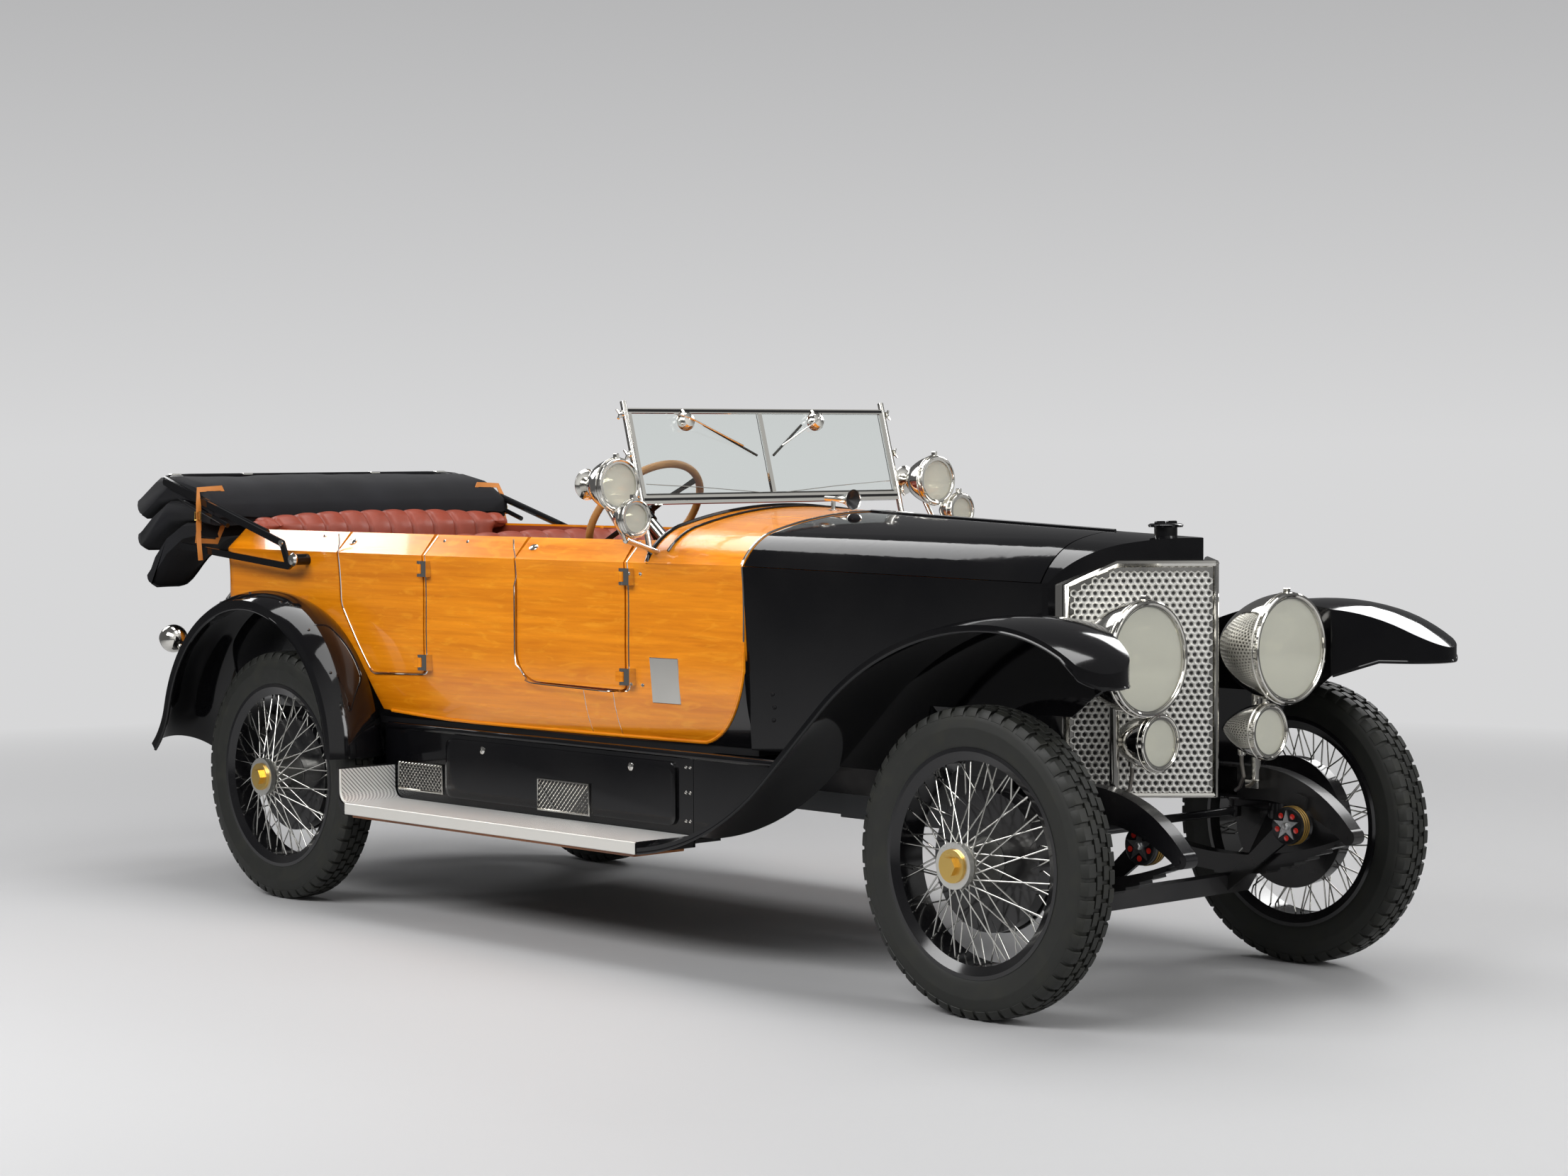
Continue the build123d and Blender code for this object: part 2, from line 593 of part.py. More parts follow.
# Radiator shell: the bonnet's section carried forward, cut to the core's V and hollow behind the core.
shell_foot_z = core_bottom_z - 8
cap_x = 2039
with BuildPart() as radiator_shell:
    for x, station in ((bonnet_front_x, bonnet_front), (prow_x, shell_front)):
        half_width, crease_z, top_z = station
        with BuildSketch(Plane.YZ.offset(x)):
            with BuildLine():
                crown_arcs(half_width, crease_z, top_z)
                Polyline((half_width, crease_z), (half_width - 8, shell_foot_z), (8 - half_width, shell_foot_z),
                         (-half_width, crease_z))
            make_face()
    loft(ruled=True)
    with BuildSketch(Plane.XY):
        with BuildLine():
            shell_prow = prow_x - shell_prow_setback
            slope = (prow_x - core_corner_x) / core_half_width
            Polyline((shell_prow, 0), (shell_prow - slope * 400, 400), (bonnet_front_x - 60, 400),
                     (bonnet_front_x - 60, -400), (shell_prow - slope * 400, -400), close=True)
        make_face()
    extrude(amount=1500, mode=Mode.INTERSECT)
    add(radiator_core.part, mode=Mode.SUBTRACT)
    with Locations((core_back_x, 0, core_bottom_z + 20)):
        Box(100, 2 * core_half_width - 50, core_shoulder_z - core_bottom_z - 30,
            align=(Align.CENTER, Align.CENTER, Align.MIN), mode=Mode.SUBTRACT)
    with Locations((core_back_x + 60, 0, core_bottom_z - 30)):
        Box(400, 2 * core_half_width - 30, 31, align=(Align.CENTER, Align.CENTER, Align.MIN),
            mode=Mode.SUBTRACT)
    with Locations((cap_x, 0, 1320)):
        Cylinder(34, 50, align=(Align.CENTER, Align.CENTER, Align.MIN))
write(radiator_shell, "radiator_shell")

# Body plan: each side is one long arc, a straight tail and a round rear corner.
side_points = ((bonnet_rear_x, body_half_front), (body_mid_x, body_half_mid), (body_arc_end_x, body_half_rear))


def side_circle():
    """Returns centre x, centre y and radius of the circle through the side's three points."""
    (x0, y0), (x1, y1), (x2, y2) = side_points
    d = 2 * (x0 * (y1 - y2) + x1 * (y2 - y0) + x2 * (y0 - y1))
    s0, s1, s2 = x0 ** 2 + y0 ** 2, x1 ** 2 + y1 ** 2, x2 ** 2 + y2 ** 2
    cx = (s0 * (y1 - y2) + s1 * (y2 - y0) + s2 * (y0 - y1)) / d
    cy = (s0 * (x2 - x1) + s1 * (x0 - x2) + s2 * (x1 - x0)) / d
    return cx, cy, sqrt((x0 - cx) ** 2 + (y0 - cy) ** 2)


def body_half_width(x):
    """Returns the body's half width at the belt line."""
    cx, cy, radius = side_circle()
    return cy + sqrt(radius ** 2 - (x - cx) ** 2)


def body_plan(inset, front_x):
    """Draws the closed plan outline, drawn in by the inset, from front_x to the tail."""
    corner_x = body_tail_x + body_corner_radius
    corner_y = body_half_tail - body_corner_radius
    corner = body_corner_radius - inset
    middle_x = (front_x + body_arc_end_x) / 2
    front_y = body_half_width(front_x) - inset
    for hand, side in SIDES:
        arc_end = (body_arc_end_x, side * (body_half_rear - inset))
        tail = (corner_x, side * (body_half_tail - inset))
        turn = (corner_x - corner * cos(radians(45)), side * (corner_y + corner * sin(radians(45))))
        ThreePointArc((front_x, side * front_y), (middle_x, side * (body_half_width(middle_x) - inset)), arc_end)
        Line(arc_end, tail)
        ThreePointArc(tail, turn, (corner_x - corner, side * corner_y))
    Line((corner_x - corner, corner_y), (corner_x - corner, -corner_y))
    Line((front_x, front_y), (front_x, -front_y))


# Body shell before the doors are cut: turned-under sides, shoulder and hollow inside.
with BuildPart() as body_shell:
    for level_z, inset in ((body_bottom_z, 62), (760, 26), (1000, 6), (belt_z, 0)):
        with BuildSketch(Plane.XY.offset(level_z)):
            with BuildLine():
                body_plan(inset, bonnet_rear_x)
            make_face()
    loft()
    for level_z, inset in ((belt_z, 0), (rail_line_z, shoulder_inset)):
        with BuildSketch(Plane.XY.offset(level_z)):
            with BuildLine():
                body_plan(inset, scuttle_rear_x)
            make_face()
    loft(ruled=True)
    with BuildSketch(Plane.XY.offset(body_bottom_z)):
        with BuildLine():
            body_plan(wall_inset, firewall_x)
        make_face()
    extrude(amount=rail_line_z - body_bottom_z, mode=Mode.SUBTRACT)

# Doors. Columns: name, hinge x, outline as (distance behind the hinge, height, corner radius).
door_top_z = rail_line_z + 60
doors = (
    ("front", 304, ((0, door_top_z, 0), (0, 816, 30), (532, 826, 110), (532, door_top_z, 0))),
    ("rear", -711, ((0, door_top_z, 0), (0, 824, 25), (322, 812, 60), (499, 1051, 90),
                    (514, door_top_z, 0))),
)
hinge_heights = (870, 1190)


def door_plane(hinge_x, rear_x, side):
    """Returns the plane on the body's side at a door, looking inwards, with its x axis along the side."""
    hinge = Vector(hinge_x, side * body_half_width(hinge_x), 0)
    rear = Vector(rear_x, side * body_half_width(rear_x), 0)
    backward = (rear - hinge).normalized()
    inward = Vector(0, 0, 1).cross(backward) * side
    return Plane(origin=hinge, x_dir=backward * -side, z_dir=inward)


def door_outline(outline, side):
    """Draws a door's outline with its round corners on the current door plane."""
    FilletPolyline([(-side * back, z) for back, z, radius in outline],
                   radius=[radius for back, z, radius in outline], close=True)


with BuildPart() as body_tub:
    add(body_shell.part)
    for name, hinge_x, outline in doors:
        for hand, side in SIDES:
            plane = door_plane(hinge_x, hinge_x - outline[2][0], side)
            with BuildSketch(plane.offset(-60)):
                with BuildLine():
                    door_outline(outline, side)
                make_face()
            extrude(amount=240, mode=Mode.SUBTRACT)
write(body_tub, "body_tub")

knuckle_half = 16
pin_radius = 5
for name, hinge_x, outline in doors:
    for hand, side in SIDES:
        plane = door_plane(hinge_x, hinge_x - outline[2][0], side)
        hinge_y = side * (body_half_width(hinge_x) + door_hinge_stand_off)
        with BuildPart() as door:
            add(body_shell.part)
            with BuildSketch(plane.offset(-door_hinge_stand_off)):
                with BuildLine():
                    door_outline(outline, side)
                make_face()
                offset(amount=-door_gap, kind=Kind.INTERSECTION, mode=Mode.REPLACE)
            extrude(amount=200, taper=door_edge_taper, mode=Mode.INTERSECT)
            for height in hinge_heights:
                with Locations((hinge_x, hinge_y, height)):
                    Cylinder(2 * pin_radius, 2 * knuckle_half)
                with Locations((hinge_x - 15, hinge_y - side * 18, height)):
                    Box(24, 48, 2 * knuckle_half)
                with Locations((hinge_x, hinge_y, height)):
                    Cylinder(pin_radius + running_clearance, 4 * knuckle_half, mode=Mode.SUBTRACT)
        write(door, f"door_{name}_{hand}")

# Door hinges on the body: a pin between two lugs on a leaf that lies against the side.
with BuildPart() as door_hinges:
    for name, hinge_x, outline in doors:
        for hand, side in SIDES:
            hinge_y = side * (body_half_width(hinge_x) + door_hinge_stand_off)
            for height in hinge_heights:
                lug_z = knuckle_half + 1 + 5
                with Locations((hinge_x, hinge_y, height)):
                    Cylinder(pin_radius, 2 * (lug_z + 5))
                with Locations((hinge_x, hinge_y, height + lug_z), (hinge_x, hinge_y, height - lug_z)):
                    Cylinder(2 * pin_radius, 10)
                with Locations((hinge_x + 17, hinge_y - side * 15, height + lug_z),
                               (hinge_x + 17, hinge_y - side * 15, height - lug_z)):
                    Box(34, 40, 10)
                with Locations((hinge_x + 27, hinge_y - side * 15, height)):
                    Box(26, 40, 2 * (lug_z + 5))
    add(body_shell.part, mode=Mode.SUBTRACT)
write(door_hinges, "door_hinges")

# Floor boards on the rails, with the seat boxes on top.
# Columns of the seats: cushion front x, cushion rear x, back foot x, back top x, back top z, half width of the top.
seats = (
    (-180, -630, -760, -800, 1342, 540),
    (-1270, -1715, -1850, -1895, 1397, 606),
)
seat_half_width = 540
cushion_top_z = 930
back_thickness = 110
back_round = 30
back_rest_z = rail_line_z + seat_clearance
with BuildPart() as floor:
    with BuildSketch(Plane.XY.offset(body_bottom_z - floor_thickness)):
        with BuildLine():
            body_plan(66, bonnet_rear_x)
        make_face()
    extrude(amount=floor_thickness)
    for cushion_front, cushion_rear, back_foot, back_top, back_top_z, top_half_width in seats:
        with Locations(((cushion_front + back_foot) / 2, 0, body_bottom_z)):
            Box(cushion_front - back_foot, 2 * seat_half_width, seat_box_top_z - body_bottom_z,
                align=(Align.CENTER, Align.CENTER, Align.MIN))
write(floor, "floor")

# Seat cushions and backs on the boxes.
with BuildPart() as seat_cushions:
    for cushion_front, cushion_rear, back_foot, back_top, back_top_z, top_half_width in seats:
        with Locations(((cushion_front + cushion_rear) / 2, 0, seat_box_top_z)):
            Box(cushion_front - cushion_rear, 2 * seat_half_width, cushion_top_z - seat_box_top_z,
                align=(Align.CENTER, Align.CENTER, Align.MIN))
    fillet(seat_cushions.edges().filter_by(Axis.Y).group_by(Axis.Z)[-1], 45)
write(seat_cushions, "seat_cushions")

with BuildPart() as seat_backs:
    for cushion_front, cushion_rear, back_foot, back_top, back_top_z, top_half_width in seats:
        rest_share = (back_rest_z - seat_box_top_z) / (back_top_z - seat_box_top_z)
        rest_x = back_foot + rest_share * (back_top - back_foot)
        with BuildSketch(Plane.XZ):
            with BuildLine():
                Polyline((back_foot, seat_box_top_z), (back_foot + back_thickness, seat_box_top_z),
                         (rest_x + back_thickness, back_rest_z), (rest_x, back_rest_z), close=True)
            make_face()
        extrude(amount=seat_half_width, both=True)
        with BuildSketch(Plane.XZ):
            with BuildLine():
                FilletPolyline((rest_x, back_rest_z), (rest_x + back_thickness, back_rest_z),
                               (back_top + back_thickness, back_top_z), (back_top, back_top_z),
                               radius=[0, 0, back_round, back_round], close=True)
            make_face()
        extrude(amount=top_half_width, both=True)
write(seat_backs, "seat_backs")

# Dashboard: an arched board on the tub's ledge under the scuttle.
dash_x = scuttle_rear_x + 4
dash_thickness = 20
dash_bottom_z = 1165
with BuildPart() as dashboard:
    with BuildSketch(Plane.YZ.offset(dash_x)):
        with BuildLine():
            dash_half = scuttle_rear[0] - scuttle_sheet - 6
            ledge_half = body_half_width(dash_x) - wall_inset - 3
            crown_arcs(dash_half, belt_z, scuttle_rear[2] - scuttle_sheet - 4)
            Polyline((dash_half, belt_z), (ledge_half, belt_z), (ledge_half, dash_bottom_z),
                     (-ledge_half, dash_bottom_z), (-ledge_half, belt_z), (-dash_half, belt_z))
        make_face()
    extrude(amount=dash_thickness)
write(dashboard, "dashboard")

# Windscreen: posts, frame bars and two panes in one raked plane.
screen_rake = 15.3
screen_foot = (361, 0, 1419)
screen_half_width = 575
screen_height = 318
screen_depth = 14
screen_bar = 16
screen_lower_bar = 30
post_y = 580
post_radius = 10
post_below = 165
post_above = 24
rake = radians(screen_rake)
screen_plane = Plane(origin=screen_foot, x_dir=(0, 1, 0), z_dir=(cos(rake), 0, sin(rake)))
pane_width = screen_half_width - 1.5 * screen_bar
pane_height = screen_height - screen_lower_bar - screen_bar
pane_mid = (pane_width + screen_bar) / 2
with BuildPart() as windscreen_frame:
    with BuildSketch(screen_plane):
        Rectangle(2 * screen_half_width, screen_height, align=(Align.CENTER, Align.MIN))
        with Locations((pane_mid, screen_lower_bar), (-pane_mid, screen_lower_bar)):
            Rectangle(pane_width, pane_height, align=(Align.CENTER, Align.MIN), mode=Mode.SUBTRACT)
    extrude(amount=screen_depth / 2, both=True)
    up_slope = Vector(-sin(rake), 0, cos(rake))
    for hand, side in SIDES:
        post_foot = Vector(screen_foot) + Vector(0, side * post_y, 0) - up_slope * post_below
        with Locations(Plane(origin=post_foot, z_dir=up_slope)):
            Cylinder(post_radius, post_below + screen_height + post_above,
                     align=(Align.CENTER, Align.CENTER, Align.MIN))
    add(scuttle.part, mode=Mode.SUBTRACT)
    add(body_shell.part, mode=Mode.SUBTRACT)
write(windscreen_frame, "windscreen_frame")

with BuildPart() as windscreen_glass:
    with BuildSketch(screen_plane):
        with Locations((pane_mid, screen_lower_bar + pane_height / 2),
                       (-pane_mid, screen_lower_bar + pane_height / 2)):
            Rectangle(pane_width - 2 * seat_clearance, pane_height - 2 * seat_clearance)
    extrude(amount=3, both=True)
write(windscreen_glass, "windscreen_glass")

# Steering wheel and column, on the car's right.
steering_centre = Vector(70, -318, 1379)
column_fall = 38
steering_rim_radius = 212
steering_tube_radius = 13
column_radius = 19
fall = radians(column_fall)
column_down = Vector(cos(fall), 0, -sin(fall))
with BuildPart() as steering_column:
    with Locations(Plane(origin=steering_centre + column_down * 40, z_dir=column_down)):
        Cylinder(column_radius, 1000, align=(Align.CENTER, Align.CENTER, Align.MIN))
    bracket_x = dash_x + dash_thickness / 2
    bracket_z = steering_centre.Z - (bracket_x - steering_centre.X) * tan(fall)
    with Locations((bracket_x, steering_centre.Y, bracket_z)):
        Box(dash_thickness, 30, dash_bottom_z - bracket_z, align=(Align.CENTER, Align.CENTER, Align.MIN))
    split(bisect_by=Plane.YZ.offset(firewall_x), keep=Keep.BOTTOM)
write(steering_column, "steering_column")

steering_plane = Plane(origin=steering_centre, x_dir=(0, 1, 0), z_dir=-column_down)
with BuildPart() as steering_wheel:
    with Locations(steering_plane):
        Torus(steering_rim_radius, steering_tube_radius)
        Cylinder(34, 40)
    with Locations(steering_plane.offset(-39.7)):
        Cylinder(24, 30, align=(Align.CENTER, Align.CENTER, Align.MIN))
    with BuildSketch(steering_plane):
        with PolarLocations(0, 4, start_angle=45):
            with Locations((steering_rim_radius / 2, 0)):
                Rectangle(steering_rim_radius, 24)
    extrude(amount=4, both=True)
write(steering_wheel, "steering_wheel")

# Front fenders. The crown line runs in tangent arcs from the running board up, over the wheel and down to the tip.
sweep_start_x = 520
sweep_start_z = 383
sweep_radius = 1000
sweep_slope = 42.5
sweep_straight = 331
crest_radius = 1010
nose_radius = 622
fender_gap = 4
wing_half = (wing_outer_y - wing_inner_y) / 2
slope_angle = radians(sweep_slope)
start_angle = asin((board_front_x + fender_gap - sweep_start_x) / sweep_radius)


def rise_point(angle, depth=0):
    """Returns a point of the fender's hollow first arc, or one at a depth under it."""
    radius = sweep_radius + depth
    return (sweep_start_x + radius * sin(angle), sweep_start_z + sweep_radius - radius * cos(angle))


rise_end = rise_point(slope_angle)
straight_end = (rise_end[0] + sweep_straight * cos(slope_angle), rise_end[1] + sweep_straight * sin(slope_angle))
crest = (straight_end[0] + crest_radius * sin(slope_angle),
         straight_end[1] + crest_radius * (1 - cos(slope_angle)))


def crest_point(angle, radius, depth=0):
    """Returns a point of an arc over the crest, or one at a depth under it, at an angle from the crest."""
    inner = radius - depth
    return (crest[0] + inner * sin(angle), crest[1] - radius + inner * cos(angle))


wall_share = 0.8
nose_angle = asin((front_end_x - crest[0]) / nose_radius)
over_angle = nose_angle + radians(14)
over_tip = crest_point(over_angle, nose_radius)


lip_drop = 38
edge_drop = 20
inner_drop = 14
wall_depth = inner_drop + wing_sheet / 2
wall_break = 5
apron_top_z = 845
apron_front_x = 2150
apron_rear_x = 1600
plan_outer_y = wing_outer_y + 10
wall_tip = crest_point(wall_share * nose_angle, nose_radius, wall_depth)
nose_taper_x = 2236
nose_taper_y = 668
nose_outer_round = 102
nose_inner_round = 135
nose_middle_y = 760
skirt_depth = 200
skirt_rear_z = 909
skirt_front_x = 2364
skirt_front_z = 955
skirt_outer_x = 2400
skirt_outer_z = 1010


def nose_plan(side):
    """Draws one fender's outline in plan, with its rounded nose."""
    return FilletPolyline((0, side * 300), (0, side * plan_outer_y), (front_end_x, side * plan_outer_y),
                          (front_end_x, side * nose_taper_y), (nose_taper_x, side * wing_inner_y),
                          (nose_taper_x, side * 300),
                          radius=[0, 0, nose_outer_round, nose_inner_round, 0, 0], close=True)


# The turned-down edge round each nose.
with BuildPart() as nose_skirts:
    for hand, side in SIDES:
        with BuildLine(Plane.XZ.offset(-side * wing_mid_y)) as nose_line:
            ThreePointArc(crest, crest_point(over_angle / 2, nose_radius), over_tip)
        with BuildSketch(Plane(origin=(crest[0], side * wing_mid_y, crest[1]), x_dir=(0, 1, 0), z_dir=(1, 0, 0))):
            with BuildLine():
                half = wing_sheet / 2
                ThreePointArc((-side * wing_half, -inner_drop - half), (0, -half), (side * wing_half, -edge_drop - half))
                Polyline((side * wing_half, -edge_drop - half), (side * wing_half, -skirt_depth),
                         (-side * wing_half, -skirt_depth), (-side * wing_half, -inner_drop - half))
            make_face()
        sweep(path=nose_line.line)
    with BuildSketch(Plane.XY):
        for hand, side in SIDES:
            with BuildLine():
                nose_plan(side)
            make_face()
        offset(amount=-wing_sheet, kind=Kind.INTERSECTION, mode=Mode.SUBTRACT)
    extrude(amount=1400, mode=Mode.INTERSECT)
    with BuildSketch(Plane.XZ):
        with BuildLine():
            Polyline((nose_taper_x - 100, 0), (nose_taper_x - 100, skirt_rear_z), (nose_taper_x, skirt_rear_z),
                     (skirt_front_x, skirt_front_z), (front_end_x + 10, skirt_front_z), (front_end_x + 10, 0),
                     close=True)
        make_face()
    extrude(amount=nose_middle_y, both=True, mode=Mode.SUBTRACT)
    for hand, side in SIDES:
        with BuildSketch(Plane.XZ.offset(-side * nose_middle_y)):
            with BuildLine():
                Polyline((skirt_outer_x, 0), (skirt_outer_x, skirt_outer_z), (front_end_x - 10, skirt_front_z),
                         (front_end_x + 10, skirt_front_z), (front_end_x + 10, 0), close=True)
            make_face()
        extrude(amount=-side * 200, mode=Mode.SUBTRACT)

with BuildPart() as front_fenders:
    for hand, side in SIDES:
        with BuildLine(Plane.XZ.offset(-side * wing_mid_y)) as crown_line:
            begin = rise_point(start_angle)
            ThreePointArc(begin, rise_point((start_angle + slope_angle) / 2), rise_end)
            Line(rise_end, straight_end)
            ThreePointArc(straight_end, crest_point(-slope_angle / 2, crest_radius), crest)
            ThreePointArc(crest, crest_point(over_angle / 2, nose_radius), over_tip)
        section_plane = Plane(origin=(begin[0], side * wing_mid_y, begin[1]), x_dir=(0, 1, 0),
                              z_dir=(cos(start_angle), 0, sin(start_angle)))
        with BuildSketch(section_plane):
            with BuildLine():
                outer = side * wing_half
                lip = side * (wing_half - wing_sheet)
                Polyline((lip, -edge_drop - wing_sheet), (lip, -lip_drop), (outer, -lip_drop),
                         (outer, -edge_drop))
                ThreePointArc((outer, -edge_drop), (0, 0), (-outer, -inner_drop))
                Line((-outer, -inner_drop), (-outer, -inner_drop - wing_sheet))
                ThreePointArc((-outer, -inner_drop - wing_sheet), (0, -wing_sheet), (lip, -edge_drop - wing_sheet))
            make_face()
        sweep(path=crown_line.line)
        with BuildSketch(Plane.XZ.offset(-side * (wing_inner_y + wing_sheet / 2))):
            foot = rise_point(start_angle, wall_depth)
            wall_rise = rise_point(slope_angle, wall_depth)
            wall_straight = crest_point(-slope_angle, crest_radius, wall_depth)
            wall_crest = crest_point(0, crest_radius, wall_depth)
            crossing_x = wall_rise[0] + (rail_top_z - wall_rise[1]) / tan(slope_angle)
            break_rise = wall_break * tan(slope_angle)
            with BuildLine():
                Polyline(foot, (foot[0], rail_top_z), (crossing_x - wall_break, rail_top_z),
                         (crossing_x - wall_break, rail_top_z - break_rise), wall_rise)
                ThreePointArc(wall_rise, rise_point((start_angle + slope_angle) / 2, wall_depth), foot)
            make_face()
            with BuildLine():
                Line((crossing_x + wall_break, rail_top_z + break_rise), wall_straight)
                ThreePointArc(wall_straight, crest_point(-slope_angle / 2, crest_radius, wall_depth), wall_crest)
                ThreePointArc(wall_crest, crest_point(wall_share / 2 * nose_angle, nose_radius, wall_depth), wall_tip)
                Polyline(wall_tip, (wall_tip[0], 955), (apron_front_x + 114, 930),
                         (apron_front_x, apron_top_z), (apron_rear_x, apron_top_z),
                         (apron_rear_x - 70, rail_top_z), (crossing_x + wall_break, rail_top_z),
                         (crossing_x + wall_break, rail_top_z + break_rise))
            make_face()
        extrude(amount=wing_sheet / 2, both=True)
        with BuildSketch(Plane.YZ.offset(apron_rear_x)):
            with BuildLine():
                wall_y = wing_inner_y
                Polyline((side * wall_y, apron_top_z + 6), (side * (wall_y + wing_sheet), apron_top_z + 6),
                         (side * (rail_outer_y + wing_sheet + 1), rail_top_z - 6),
                         (side * (rail_outer_y + wing_sheet + 1), rail_top_z - 60),
                         (side * rail_outer_y, rail_top_z - 60), (side * rail_outer_y, rail_top_z - 4),
                         close=True)
            make_face()
        extrude(amount=apron_front_x - apron_rear_x - 70)
    with BuildSketch(Plane.XY):
        for hand, side in SIDES:
            with BuildLine():
                nose_plan(side)
            make_face()
    extrude(amount=1400, mode=Mode.INTERSECT)
    add(nose_skirts.part)
write(front_fenders, "front_fenders")

# Rear fenders: a crowned sheet swept round the wheel and trimmed to the body's side.
arch_x = -1515
arch_z = 530
arch_radius = 565
rear_wing_mid_y = 745
kick_lean = radians(14)
kick_turn = radians(34)
kick_radius = 260


def arch_point(lean):
    """Returns a point of the rear arch at an angle above its rear end."""
    return (arch_x - arch_radius * cos(lean), arch_z + arch_radius * sin(lean))


def kick_point(turn):
    """Returns a point of the hollow arc that ends the arch, at a turn from where it starts."""
    reach = arch_radius + kick_radius
    lean = kick_lean + turn
    return (arch_x - reach * cos(kick_lean) + kick_radius * cos(lean),
            arch_z + reach * sin(kick_lean) - kick_radius * sin(lean))


kick_end = kick_point(kick_turn)
end_lean = kick_lean + kick_turn
with BuildPart() as rear_fenders:
    for hand, side in SIDES:
        with BuildLine(Plane.XZ.offset(-side * rear_wing_mid_y)) as arch_line:
            ThreePointArc(kick_end, kick_point(kick_turn / 2), kick_point(0))
            ThreePointArc(arch_point(kick_lean), arch_point((kick_lean + pi) / 2), arch_point(pi))
        arch_start = Plane(origin=(kick_end[0], side * rear_wing_mid_y, kick_end[1]), x_dir=(0, 1, 0),
                           z_dir=(sin(end_lean), 0, cos(end_lean)))
        with BuildSketch(arch_start):
            with BuildLine():
                outer = side * (wing_outer_y - rear_wing_mid_y)
                lip = outer - side * wing_sheet
                inner = side * (600 - rear_wing_mid_y)
                Polyline((lip, -37), (lip, -66), (outer, -66), (outer, -32))
                ThreePointArc((outer, -32), (side * 10, 0), (inner, -62))
                Line((inner, -62), (inner, -62 - wing_sheet))
                ThreePointArc((inner, -62 - wing_sheet), (side * 10, -wing_sheet), (lip, -37))
            make_face()
        sweep(path=arch_line.line)
    add(body_shell.part, mode=Mode.SUBTRACT)
write(rear_fenders, "rear_fenders")

# Running boards with a kick plate at the rear and step irons to the rails.
kick_top_z = 505
kick_thickness = 8
with BuildPart() as running_boards:
    for hand, side in SIDES:
        board_mid_y = side * (board_inner_y + wing_outer_y) / 2
        with BuildSketch(Plane.XZ.offset(-board_mid_y)):
            with BuildLine():
                bend = 60
                Polyline((board_front_x, board_top_z), (board_front_x, board_bottom_z),
                         (board_rear_x + bend, board_bottom_z))
                ThreePointArc((board_rear_x + bend, board_bottom_z),
                              (board_rear_x + bend * (1 - cos(radians(45))),
                               board_bottom_z + bend * (1 - sin(radians(45)))),
                              (board_rear_x, board_bottom_z + bend))
                Polyline((board_rear_x, board_bottom_z + bend), (board_rear_x, kick_top_z),
                         (board_rear_x + kick_thickness, kick_top_z),
                         (board_rear_x + kick_thickness, board_top_z + bend / 2))
                ThreePointArc((board_rear_x + kick_thickness, board_top_z + bend / 2),
                              (board_rear_x + kick_thickness + 9, board_top_z + 9),
                              (board_rear_x + kick_thickness + bend / 2, board_top_z))
                Line((board_rear_x + kick_thickness + bend / 2, board_top_z), (board_front_x, board_top_z))
            make_face()
        extrude(amount=(wing_outer_y - board_inner_y) / 2, both=True)
        for iron_x in (-760, -150, 460):
            with Locations((iron_x, side * (rail_outer_y + 120), board_bottom_z)):
                Box(40, 240 + 100, 14, align=(Align.CENTER, Align.CENTER, Align.MAX))
            with Locations((iron_x, side * (rail_outer_y - 25), rail_bottom_z)):
                Box(40, 50, rail_bottom_z - board_bottom_z + 14, align=(Align.CENTER, Align.CENTER, Align.MAX))
write(running_boards, "running_boards")

# Valances between the running boards and the rails.
valance_sheet = 8
valance_rear_x = -985
with BuildPart() as valances:
    for hand, side in SIDES:
        with BuildSketch(Plane.YZ.offset(valance_rear_x)):
            with BuildLine():
                outer = board_inner_y
                Polyline((side * outer, board_bottom_z), (side * outer, rail_top_z), (side * rail_outer_y, rail_top_z),
                         (side * rail_outer_y, rail_top_z - valance_sheet),
                         (side * (outer - valance_sheet), rail_top_z - valance_sheet),
                         (side * (outer - valance_sheet), board_bottom_z), close=True)
            make_face()
        extrude(amount=board_front_x - valance_rear_x)
write(valances, "valances")


def lamp_outside(front_x, axis_z, radius, depth):
    """Draws half of a lamp body, a rim and a bowl, above its axis."""
    Polyline((front_x + 6, axis_z), (front_x + 6, axis_z + radius + 10), (front_x - 14, axis_z + radius + 10))
    ThreePointArc((front_x - 14, axis_z + radius + 10), (front_x - 0.6 * depth, axis_z + 0.74 * radius),
                  (front_x - depth, axis_z))
    Line((front_x - depth, axis_z), (front_x + 6, axis_z))


def lamp_inside(front_x, axis_z, radius, depth):
    """Draws half of the lamp's hollow, with the lens seat and the rim's mouth."""
    Polyline((front_x + 7, axis_z), (front_x + 7, axis_z + radius - 7),
             (front_x + seat_clearance, axis_z + radius - 7), (front_x + seat_clearance, axis_z + radius),
             (front_x - 14, axis_z + radius))
    ThreePointArc((front_x - 14, axis_z + radius), (front_x - 0.6 * depth, axis_z + 0.74 * radius - 6),
                  (front_x - depth + 8, axis_z))
    Line((front_x - depth + 8, axis_z), (front_x + 7, axis_z))


